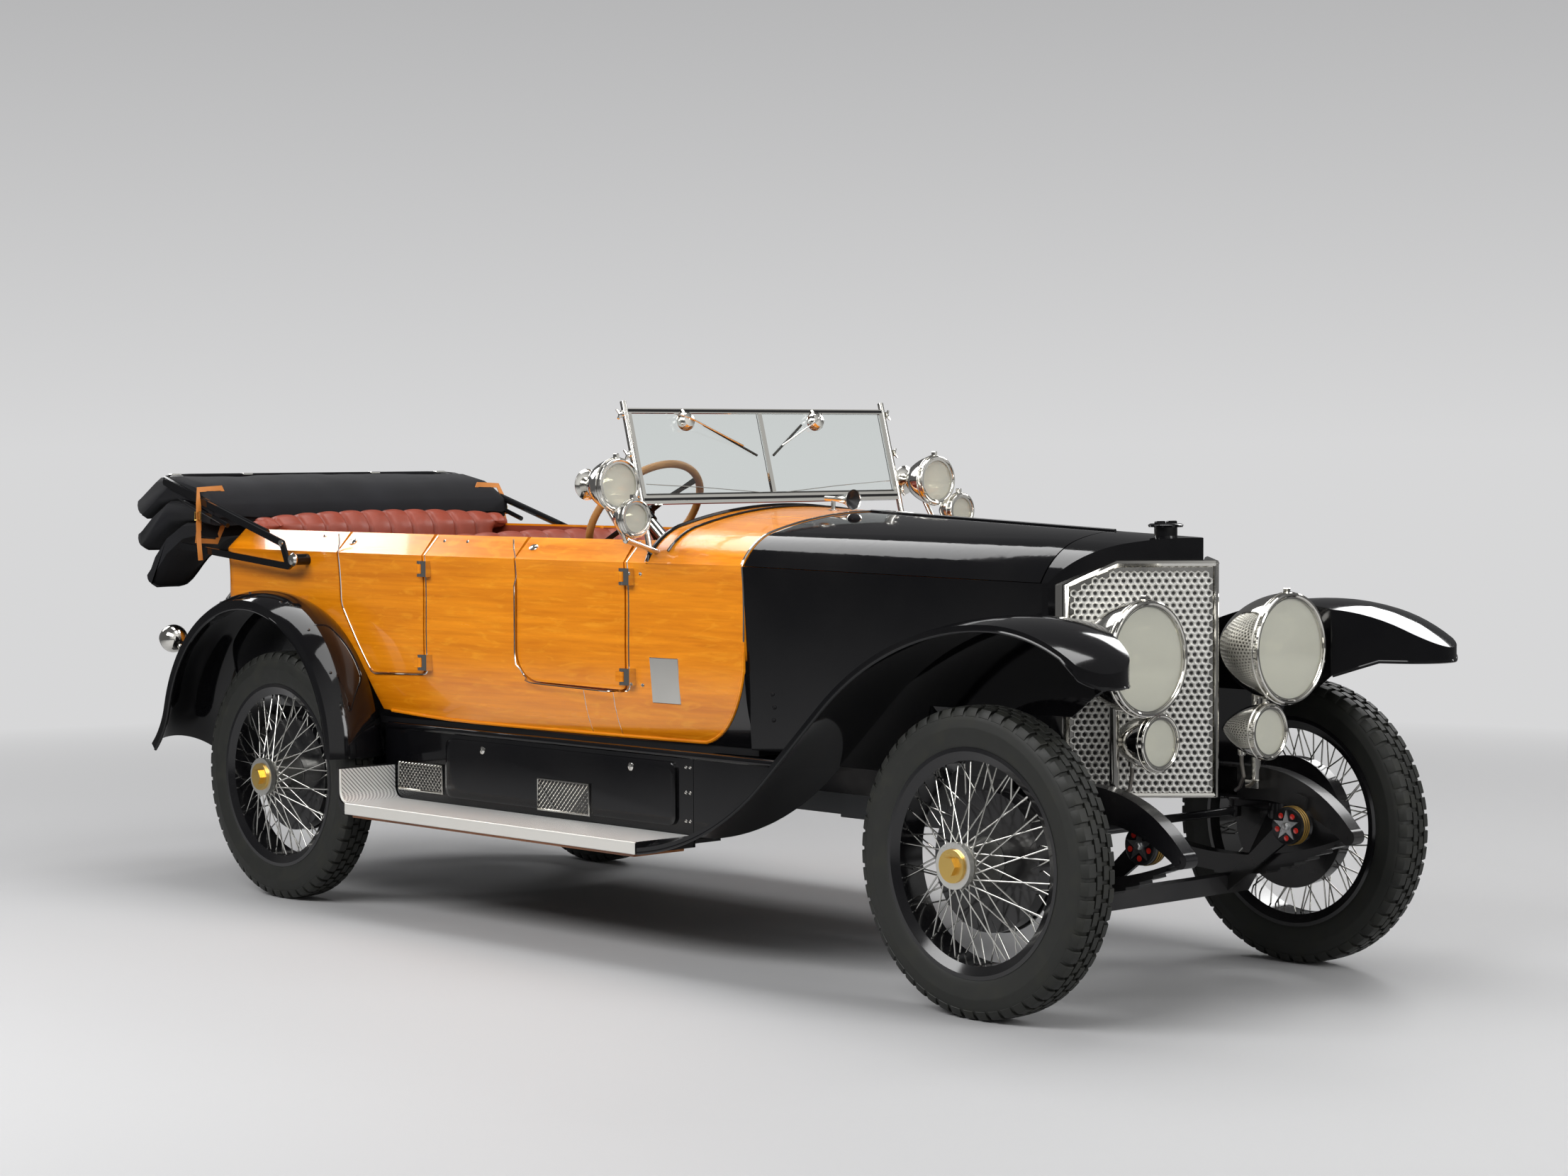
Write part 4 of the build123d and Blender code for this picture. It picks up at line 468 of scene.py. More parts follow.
@dataclass(frozen=True)
class Finish:
    """A procedural finish and the record's slot that it belongs to."""

    name: str
    slot: str
    effect: Effect
    tint: str
    gloss: float
    light: str = "808080"
    dark: str = "303030"
    grain: float = 300.0
    metallic: float = 0.0
    coat: float = 0.0
    shine: float = 0.5
    dust: float = 0.04
    bump: float = 0.1
    depth: float = 0.0005
    sheen: float = 0.0
    holes: float = 0.0
    sill: bool = False

    def group(self, graph: Graph) -> bpy.types.NodeOutputs:
        """Places the finish's effect group in a material.

        Args:
            graph: The material's graph.

        Returns:
            The outputs of the group node.
        """
        values: dict = {"Tint": linear(self.tint), "Gloss": self.gloss}
        if self.effect == Effect.PAINT:
            values["Dust"] = self.dust
        elif self.effect == Effect.METAL:
            values["Tarnish"] = self.dust
        else:
            values.update({"Light": linear(self.light), "Dark": linear(self.dark), "Grain": self.grain})
        return GROUPS[self.effect].use(graph, values)

    def material(self) -> bpy.types.Material:
        """Returns the finish's material, made at its first use."""
        found = bpy.data.materials.get(self.name)
        if found:
            return found
        made, graph, shader = blank_material(self.name)
        group = self.group(graph)
        color, height, rough, clear = group["Color"], group["Height"], group["Roughness"], self.coat
        if self.holes:
            punched = HOLES.use(graph, {"Pitch": self.holes})
            # Painted shade: the holes are painted dark grey for the shade seen through the punched sheet.
            color = graph.mix(punched["Mask"], color, (0.10, 0.10, 0.10, 1))
            height = punched["Height"]
        if self.sill:
            zone, hide = BODY.use(graph), LEATHER.group(graph)
            color = graph.mix(zone["Black"], color, linear("0B0B0D"))
            color = graph.mix(zone["Lined"], color, hide["Color"])
            rough = graph.math("MAXIMUM", rough, graph.times(zone["Lined"], hide["Roughness"]))
            clear = graph.times(graph.minus(1.0, zone["Lined"]), self.coat)
        graph.feed(shader, {"Base Color": color, "Roughness": rough, "Metallic": self.metallic,
                            "Normal": graph.bump(self.bump, self.depth, height),
                            "Specular IOR Level": self.shine, "Coat Weight": clear, "Coat Roughness": 0.04,
                            "Sheen Weight": self.sheen})
        made.diffuse_color = linear(self.tint)
        return made


@dataclass(frozen=True)
class Glass:
    """A clear or frosted glass finish."""

    name: str
    slot: str
    tint: str
    rough: float
    ripple: float = 0.0
    clear: float = 1.0

    def material(self) -> bpy.types.Material:
        """Returns the glass material, made at its first use."""
        found = bpy.data.materials.get(self.name)
        if found:
            return found
        made, graph, shader = blank_material(self.name)
        cloud = graph.noise(graph.place(), 22.0, 3.0)
        graph.feed(shader, {"Base Color": linear(self.tint), "Transmission Weight": self.clear, "IOR": 1.46,
                            "Roughness": graph.plus(self.rough, graph.times(cloud, 0.03)),
                            "Normal": graph.bump(self.ripple, 0.0004, cloud)})
        return made


WOOD = Finish("amber_varnished_wood", "varnished_wood", Effect.WOOD, "E88E10", 0.22, "F2A828", "C06A04",
              coat=0.5, bump=0.04)
SIDE_WOOD = replace(WOOD, name="amber_side_wood", sill=True)
FLOOR_WOOD = Finish("floor_board_wood", "varnished_wood", Effect.WOOD, "A8642A", 0.45, "C08442", "6E3A14",
                    sill=True)
DARK_WOOD = replace(FLOOR_WOOD, name="board_edge_wood", gloss=0.30, coat=0.3, sill=False)
BLACK = Finish("deep_black_coach_paint", "gloss_black", Effect.PAINT, "09090B", 0.05, coat=0.2, shine=0.25,
               dust=0.010, bump=0.012)
CHASSIS = Finish("chassis_black_enamel", "chassis_black", Effect.PAINT, "101012", 0.22, coat=0.1, shine=0.3,
                 dust=0.06, bump=0.05)
NICKEL = Finish("polished_nickel", "bright_metal", Effect.METAL, "DAD8D2", 0.06, metallic=1.0, dust=0.06,
                bump=0.01)
ALLOY = Finish("bright_alloy", "damper_alloy", Effect.METAL, "BFC0C0", 0.26, metallic=1.0, dust=0.06,
               bump=0.05)
PUNCHED = Finish("perforated_alloy", "damper_alloy", Effect.METAL, "E2E2E0", 0.42, metallic=0.45, dust=0.04,
                 bump=0.4, depth=0.0008, holes=0.0075)
EDGE = Finish("board_edge_alloy", "damper_alloy", Effect.METAL, "DAD8D2", 0.34, metallic=0.4, dust=0.05,
              bump=0.05)
CORE = Finish("radiator_plated_cells", "bright_metal", Effect.METAL, "E0DFDA", 0.30, metallic=0.75, dust=0.08,
              bump=0.03)
GOLD = Finish("gilt_brass", "bright_metal", Effect.METAL, "D8B66A", 0.16, metallic=1.0, dust=0.08, bump=0.02)
BRASS_DARK = Finish("damper_friction_brass", "damper_alloy", Effect.METAL, "9A7A3C", 0.35, metallic=1.0,
                    dust=0.3)
CAST = Finish("cast_grey_paint", "cast_grey", Effect.PAINT, "46484A", 0.45, dust=0.2, bump=0.3)
STEEL = Finish("dulled_steel", "steel_grey", Effect.METAL, "77736E", 0.38, metallic=1.0, dust=0.35, bump=0.1)
RUBBER = Finish("tyre_rubber_grey", "tyre_rubber", Effect.RUBBER, "191A17", 0.52, "28281F", "101011",
                shine=0.4, bump=0.15)
LEATHER = Finish("saddle_red_leather", "brown_leather", Effect.LEATHER, "7E3320", 0.38, "93442C", "5C2416",
                 grain=420.0, shine=0.35, bump=0.22)
PIPING = Finish("leather_piping", "brown_leather", Effect.LEATHER, "8A3A26", 0.38, "A24C32", "62281A",
                grain=500.0)
STRAP = Finish("tan_strap_leather", "rim_wrap", Effect.LEATHER, "B9722A", 0.45, "CC8A42", "8E5520",
               grain=520.0)
CLOTH = Finish("black_hood_cloth", "hood_cloth", Effect.CLOTH, "0E0E11", 0.85, "191A1F", "0A0A0C",
               grain=520.0, bump=0.25, shine=0.2, sheen=0.04)
WRAP = Finish("tan_cord_wrap", "rim_wrap", Effect.LEATHER, "9C6C34", 0.5, "B5854A", "6E4A22", bump=0.2)
DIAL = Finish("dial_black", "gloss_black", Effect.PAINT, "18181A", 0.35, dust=0.02)
IVORY = Finish("dial_marks_ivory", "bright_metal", Effect.PAINT, "E6DFCC", 0.4, dust=0.02)
RED = Finish("red_lens_enamel", "clear_glass", Effect.PAINT, "C2281E", 0.12, coat=0.8, dust=0.0)
DARK_CELL = Finish("radiator_cell_shadow", "bright_metal", Effect.PAINT, "17171A", 0.6, dust=0.1)
PANE = Glass("clear_screen_glass", "clear_glass", "F2F7F5", 0.0)
LENS = Glass("frosted_lamp_glass", "clear_glass", "F6F6EA", 0.05, 0.1, 0.68)


def turns(count: int) -> list[float]:
    """Returns equal steps of angle round a full turn."""
    return [2 * math.pi * k / count for k in range(count)]


def bead(radius: float, height: float, wide: float, tall: float, count: int) -> Profile:
    """Returns the closed profile of a turned bead."""
    return [(radius + wide * math.cos(a), height + tall * math.sin(a)) for a in turns(count)]


def mirror(points: Iterable[Point], side: int) -> list[Point]:
    """Returns points of the car's left, put on the given side."""
    return [(x, side * y, z) for x, y, z in points]


def axis_place(foot: Sequence[float], along: Sequence[float]) -> Matrix:
    """Returns the matrix that puts a turned form's foot and z axis in the car."""
    return Matrix.Translation(Vector(foot)) @ Vector(along).to_track_quat("Z", "Y").to_matrix().to_4x4()


def axes_place(origin: Sequence[float], along: Vector, up: Vector, out: Vector) -> Matrix:
    """Returns the matrix with the given origin and x, y and z axes."""
    return Matrix.Translation(Vector(origin)) @ Matrix((along, up, out)).transposed().to_4x4()


def solid(name: str, verts: Iterable, faces: Iterable, crease: float) -> bpy.types.Object:
    """Makes a mesh object with smooth shading and sharp edges above an angle.

    Args:
        name: The piece's name.
        verts: Points in metres.
        faces: Lists of point numbers.
        crease: The angle in degrees above which an edge stays sharp.

    Returns:
        The new object, linked to the scene.
    """
    mesh = bpy.data.meshes.new(name)
    mesh.from_pydata([tuple(v) for v in verts], [], [tuple(f) for f in faces])
    shell = bmesh.new()
    shell.from_mesh(mesh)
    bmesh.ops.recalc_face_normals(shell, faces=shell.faces)
    shell.to_mesh(mesh)
    shell.free()
    mesh.polygons.foreach_set("use_smooth", [True] * len(mesh.polygons))
    mesh.set_sharp_from_angle(angle=math.radians(crease))
    return linked(bpy.data.objects.new(name, mesh))


def linked(made: bpy.types.Object) -> bpy.types.Object:
    """Links a new object to the scene and returns it."""
    bpy.context.scene.collection.objects.link(made)
    return made


def dress(piece: bpy.types.Object, body: str, finish: "Finish | Glass", *nodes: str) -> bpy.types.Object:
    """Gives a piece its finish and its place on a body.

    Args:
        piece: The new piece.
        body: The body that carries it.
        finish: Its finish.
        nodes: CAD nodes that it stands for.

    Returns:
        The piece.
    """
    piece.data.materials.clear()
    piece.data.materials.append(finish.material())
    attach(piece, body)
    if nodes:
        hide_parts(*nodes)
    log.info("%s on %s", piece.name, body)
    return piece


def coat(finish: "Finish | Glass", *nodes: str) -> None:
    """Gives CAD nodes that stay a finish."""
    for name in nodes:
        paint(name, finish.material())


def paint(node: str, material: bpy.types.Material) -> None:
    """Gives one CAD node a material.

    Args:
        node: The CAD node.
        material: Its only material.
    """
    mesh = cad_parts[node].data
    mesh.materials.clear()
    mesh.materials.append(material)


class Form:
    """Gathers points and faces of one piece before it becomes a mesh."""

    def __init__(self) -> None:
        """Starts empty."""
        self.verts: list[Vector] = []
        self.faces: list[tuple[int, ...]] = []

    def grid(self, rings: Sequence[Sequence[Vector]], around: bool = True, ends: bool = False,
             closed: bool = False) -> None:
        """Adds rings of points joined by four-sided faces.

        Args:
            rings: Rings with equal numbers of points.
            around: Whether each ring closes on itself.
            ends: Whether the first and last rings are filled.
            closed: Whether the last ring joins the first.
        """
        base, count = len(self.verts), len(rings[0])
        for ring in rings:
            self.verts.extend(Vector(p) for p in ring)
        steps = len(rings) if closed else len(rings) - 1
        for k in range(steps):
            low, high = base + k * count, base + ((k + 1) % len(rings)) * count
            for j in range(count if around else count - 1):
                n = (j + 1) % count
                self.faces.append((low + j, low + n, high + n, high + j))
        if ends:
            self.faces.append(tuple(base + j for j in reversed(range(count))))
            self.faces.append(tuple(base + (len(rings) - 1) * count + j for j in range(count)))

    def block(self, low: Sequence[float], high: Sequence[float], place: Optional[Matrix] = None,
              bevel: float = 0.0) -> None:
        """Adds a box with its edges cut back by the bevel.

        Args:
            low: Lowest corner.
            high: Highest corner.
            place: Where the box is put.
            bevel: Width of the cut edges.
        """
        place = place or Matrix.Identity(4)
        (x0, y0, z0), (x1, y1, z1), b = low, high, bevel

        def ring(z: float, cut: float) -> list[Vector]:
            """Gives one level of the box, eight-sided if it has a bevel.

            Args:
                z: Height of the level.
                cut: How far the level stands back from the box's sides.

            Returns:
                The points of the level.
            """
            c = max(cut, b)
            plan = [(x0 + c, y0 + cut), (x1 - c, y0 + cut), (x1 - cut, y0 + c), (x1 - cut, y1 - c),
                    (x1 - c, y1 - cut), (x0 + c, y1 - cut), (x0 + cut, y1 - c), (x0 + cut, y0 + c)]
            if not b:
                plan = [(x0, y0), (x1, y0), (x1, y1), (x0, y1)]
            return [place @ Vector((x, y, z)) for x, y in plan]

        levels = ((z0, b), (z0 + b, 0), (z1 - b, 0), (z1, b)) if b else ((z0, 0), (z1, 0))
        self.grid([ring(z, cut) for z, cut in levels], ends=True)

    def lathe(self, profile: Profile, place: Matrix, count: int = 48, closed: bool = False) -> None:
        """Adds a turned form.

        Args:
            profile: Radius and height of each point.
            place: Puts the turned form's z axis and foot in the car.
            count: Points round each ring.
            closed: Whether the profile closes on itself.
        """
        rings = [[place @ Vector((r * math.cos(a), r * math.sin(a), h)) for a in turns(count)]
                 for r, h in profile]
        self.grid(rings, ends=not closed, closed=closed)

    def stud(self, profile: Profile, foot: Sequence[float], along: Sequence[float], count: int) -> None:
        """Adds a turned form by its foot and the direction of its axis."""
        self.lathe(profile, axis_place(foot, along), count)

    def tube(self, path: Sequence[Sequence[float]], radius: float, count: int = 8, closed: bool = False,
             squash: tuple[float, float] = (1.0, 1.0), up: Optional[Sequence[float]] = None) -> None:
        """Adds a tube or, squashed, a strap along a path.

        Args:
            path: Points of the centre line.
            radius: Radius of the tube.
            count: Points round the tube; 4 gives a flat strap.
            closed: Whether the path closes on itself.
            squash: Factors of the radius along the side and the up direction.
            up: The direction that stays up, or none for a free tube.
        """
        pts = [Vector(p) for p in path]
        rings, last = [], None
        for k, point in enumerate(pts):
            before = pts[k - 1] if k or closed else point
            after = pts[(k + 1) % len(pts)] if k + 1 < len(pts) or closed else point
            along = (after - before).normalized()
            if up is not None:
                side = along.cross(Vector(up)).normalized()
            elif last is None:
                side = along.orthogonal().normalized()
            else:
                side = (last - along * last.dot(along)).normalized()
            last = side
            lift = side.cross(along).normalized()
            turn = math.pi / count if count == 4 else 0.0
            rings.append([point + side * (radius * squash[0] * math.cos(a + turn))
                          + lift * (radius * squash[1] * math.sin(a + turn)) for a in turns(count)])
        self.grid(rings, ends=not closed, closed=closed)

    def fit(self, name: str, finish: "Finish | Glass", *nodes: str, body: str = CAR,
            crease: float = CREASE) -> bpy.types.Object:
        """Makes the gathered form a dressed piece.

        Args:
            name: The piece's name.
            finish: Its finish.
            nodes: CAD nodes that it stands for.
            body: The body that carries it.
            crease: The angle in degrees above which an edge stays sharp.

        Returns:
            The piece.
        """
        return dress(solid(name, self.verts, self.faces, crease), body, finish, *nodes)


class Skin:
    """The outer surface of some CAD nodes, for setting trim on it."""

    def __init__(self, *nodes: str) -> None:
        """Gathers the nodes' faces.

        Args:
            nodes: Names of the CAD nodes.
        """
        verts, faces = [], []
        for name in nodes:
            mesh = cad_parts[name].data
            base = len(verts)
            verts.extend(v.co.copy() for v in mesh.vertices)
            faces.extend([base + k for k in p.vertices] for p in mesh.polygons)
        self.tree = BVHTree.FromPolygons(verts, faces)

    def cast(self, start: Sequence[float], ray: Vector, otherwise: Sequence[float]) -> Vector:
        """Returns the first point met along a ray, or another point where nothing is met."""
        hit = self.tree.ray_cast(Vector(start), ray)[0]
        return hit if hit else Vector(otherwise)

    def side(self, x: float, z: float, hand: int) -> Vector:
        """Returns the point of the car's side at a length and height."""
        return self.cast((x, hand * 2.0, z), Vector((0, -hand, 0)), (x, hand * 0.64, z))

    def top(self, x: float, y: float) -> Vector:
        """Returns the highest point at a place in plan."""
        return self.cast((x, y, 3.0), Vector((0, 0, -1)), (x, y, 1.4))

    def toward(self, start: Sequence[float], aim: Sequence[float]) -> Vector:
        """Returns the first point met from a start towards an aim."""
        return self.cast(start, (Vector(aim) - Vector(start)).normalized(), aim)


@dataclass
class RoadWheel:
    """The block-tread tyres and the zoned finish of the wire wheels."""

    tyre_radius: float = 0.440
    track_half: float = 0.715
    axles: tuple[tuple[str, float], ...] = (("front", 1.985), ("rear", -1.415))
    blocks: int = 54
    cover: float = 0.76
    block_depth: float = 0.010
    chamfer: float = 0.0012
    flank_lean: float = 0.006
    flank_radius: float = 0.43
    tyre_mesh: Optional[bpy.types.Mesh] = None

    def tread(self, form: Form) -> None:
        """Adds the rows of tread blocks.

        Args:
            form: The tyre.
        """
        pitch = 2 * math.pi / self.blocks
        rows = ((SHOULDER_BLOCK, 1, 0.0), (SHOULDER_BLOCK, -1, 0.5), (RIB_BLOCK, 1, 0.3),
                (RIB_BLOCK, -1, 0.8))
        for section, hand, phase in rows:
            for k in range(self.blocks):
                rings = []
                for step in (0.0, 0.04, 0.5, 0.96, 1.0):
                    a = (k + phase) * pitch + step * self.cover * pitch
                    drop = self.chamfer if step in (0.0, 1.0) else 0.0
                    up = [(w, r - drop) for w, r in section]
                    down = [(w - (self.flank_lean if r < self.flank_radius else 0.0), r - self.block_depth)
                            for w, r in reversed(section)]
                    rings.append([Vector((r * math.cos(a), r * math.sin(a), hand * w)) for w, r in up + down])
                form.grid(rings, ends=True)

    def tyre(self, name: str, node: str, body: str, place: Matrix) -> None:
        """Builds one tyre in place of its node.

        Args:
            name: The piece's name.
            node: The CAD tyre.
            body: The body that carries it.
            place: The wheel's centre and axle line.
        """
        if self.tyre_mesh is None:
            form = Form()
            profile = [(r, -w) for r, w in TYRE_HALF] + [(r, w) for r, w in reversed(TYRE_HALF[:-1])]
            form.lathe(profile, Matrix.Identity(4), 120, closed=True)
            self.tread(form)
            piece = solid(name, form.verts, form.faces, 30.0)
            self.tyre_mesh = piece.data
        else:
            piece = linked(bpy.data.objects.new(name, self.tyre_mesh))
        piece.matrix_world = place
        dress(piece, body, RUBBER, node)

    def wheel(self, node: str, centre: Point, across: Point, outward: Point) -> None:
        """Dresses one CAD wheel by zones: black rim, bright spokes, alloy hub and gilt cap.

        Args:
            node: The CAD wheel.
            centre: The wheel's centre.
            across: 1 for each axis in the wheel's plane and 0 for the axle's.
            outward: Direction away from the drum, or zeros where there is none.
        """
        made, graph, shader = blank_material(f"{node}_zones")
        zone = ZONES.use(graph, {"Centre": centre, "Across": across, "Outward": outward})
        metal = GROUPS[Effect.METAL].use(graph, {"Tint": linear("D6D5D0"), "Gloss": 0.10, "Tarnish": 0.05})
        enamel = GROUPS[Effect.PAINT].use(graph, {"Tint": linear("101012"), "Gloss": 0.14, "Dust": 0.03})
        capped = graph.mix(zone["Cap"], metal["Color"], linear("D8B66A"))
        painted = graph.math("MAXIMUM", zone["Rim"], zone["Drum"])
        graph.feed(shader, {"Base Color": graph.mix(painted, capped, enamel["Color"]),
                            "Metallic": graph.minus(1.0, painted),
                            "Roughness": graph.plus(metal["Roughness"], graph.times(zone["Hub"], 0.16)),
                            "Normal": graph.bump(0.02, 0.0004, metal["Height"])})
        paint(node, made)

    def build(self) -> None:
        """Builds the four road wheels and the spare."""
        for end, x in self.axles:
            for hand, side in SIDES:
                centre = (x, side * self.track_half, self.tyre_radius)
                name = f"{end}_{hand}"
                place = axis_place(centre, (0, side, 0))
                self.tyre(f"tyre_blocks_{name}", f"tyre_{name}", f"road_wheel_{name}", place)
                self.wheel(f"wire_wheel_{name}", centre, (1, 0, 1), (0, side, 0))
        lo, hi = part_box("spare_tyre")
        spare = tuple((lo + hi) / 2)
        self.tyre("tyre_blocks_spare", "spare_tyre", CAR, axis_place(spare, (-1, 0, 0)))
        self.wheel("spare_wire_wheel", spare, (0, 1, 1), (0, 0, 0))


@dataclass
class Radiator:
    """The honeycomb faces, border and filler cap of the prowed radiator."""

    prow_x: float = 2.222
    corner_x: float = 1.922
    half_width: float = 0.310
    bottom_z: float = 0.586
    top_z: float = 1.262
    shoulder_z: float = 1.199
    flat_half: float = 0.204
    pitch: float = 0.0205
    rise: float = 0.007
    margin: float = 0.022
    first_cell: float = 0.016
    lift: float = 0.004
    top_bead: float = 0.011
    foot_bead: float = 0.009
    prow_bead: float = 0.008
    cap_x: float = 2.039
    cap_sink: float = 0.006
    wing_y: float = 0.026
    wing_half: tuple[float, float] = (0.007, 0.020)
    wing_tall: float = 0.012

    def height_at(self, y: float) -> float:
        """Finds the core's top.

        Args:
            y: Distance from the middle, to either side.

        Returns:
            The height of the top there.
        """
        y = abs(y)
        if y <= self.flat_half:
            return self.top_z
        share = (y - self.flat_half) / (self.half_width - self.flat_half)
        return self.top_z + (self.shoulder_z - self.top_z) * share

    def face_place(self, side: int) -> tuple[Matrix, float]:
        """Finds one face of the core.

        Args:
            side: The car's side.

        Returns:
            The face's matrix, x along it from the prow and z outwards, and its length.
        """
        prow = Vector((self.prow_x, 0, 0))
        corner = Vector((self.corner_x, side * self.half_width, 0))
        along, up = (corner - prow).normalized(), Vector((0, 0, 1))
        return axes_place(prow, along, up, along.cross(up) * side), (corner - prow).length

    def cells(self) -> None:
        """Builds the honeycomb of both faces."""
        walls, floors = Form(), Form()
        step_v = self.pitch * 0.866
        sixths = [math.pi / 6 + math.pi / 3 * k for k in range(6)]
        levels = ((0.577, self.rise), (0.40, self.rise * 0.9), (0.25, 0.0012))
        for side in HANDS:
            place, length = self.face_place(side)
            slope = self.half_width / length
            for row in range(int((self.top_z - self.bottom_z) / step_v)):
                v = self.bottom_z + self.margin + row * step_v
                for column in range(int(length / self.pitch)):
                    u = self.first_cell + (column + 0.5 * (row % 2)) * self.pitch
                    if u > length - self.margin or v > self.height_at(u * slope) - self.margin:
                        continue
                    rings = [[place @ Vector((u + self.pitch * scale * math.cos(a),
                                              v + self.pitch * scale * math.sin(a), height)) for a in sixths]
                             for scale, height in levels]
                    walls.grid(rings)
                    base = len(floors.verts)
                    floors.verts.extend(rings[2])
                    floors.faces.append(tuple(base + k for k in range(6)))
        walls.fit("radiator_honeycomb", CORE, crease=20.0)
        floors.fit("radiator_cell_floors", DARK_CELL)

    def border(self) -> None:
        """Builds the bright border round the faces and down the prow."""
        form = Form()
        outline = ((self.half_width, self.bottom_z), (self.half_width, self.shoulder_z),
                   (self.flat_half, self.top_z), (0.0, self.top_z))
        fall, low, prow = self.corner_x - self.prow_x, self.bottom_z + 0.006, self.prow_x + 0.006
        for side in HANDS:
            form.tube([(self.prow_x + fall * y / self.half_width + self.lift, side * y, z)
                       for y, z in outline], self.top_bead)
            form.tube([(self.corner_x + self.lift, side * self.half_width, low),
                       (self.prow_x + self.lift, 0, low)], self.foot_bead)
        form.tube([(prow, 0, self.bottom_z), (prow, 0, self.top_z)], self.prow_bead)
        form.fit("radiator_border", NICKEL)

    def build(self) -> None:
        """Builds the radiator's dress."""
        self.cells()
        self.border()
        coat(NICKEL, "radiator_core")
        coat(BLACK, "radiator_shell")
        cap = Form()
        seat = Skin("radiator_shell").top(self.cap_x, 0.0)
        cap.stud(CAP_SEAT, seat - Vector((0, 0, self.cap_sink)), (0, 0, 1), 32)
        long, wide = self.wing_half
        for y in (-self.wing_y, self.wing_y):
            cap.block((self.cap_x - long, y - wide, seat.z),
                      (self.cap_x + long, y + wide, seat.z + self.wing_tall), bevel=0.003)
        cap.fit("filler_cap_wings", BLACK)


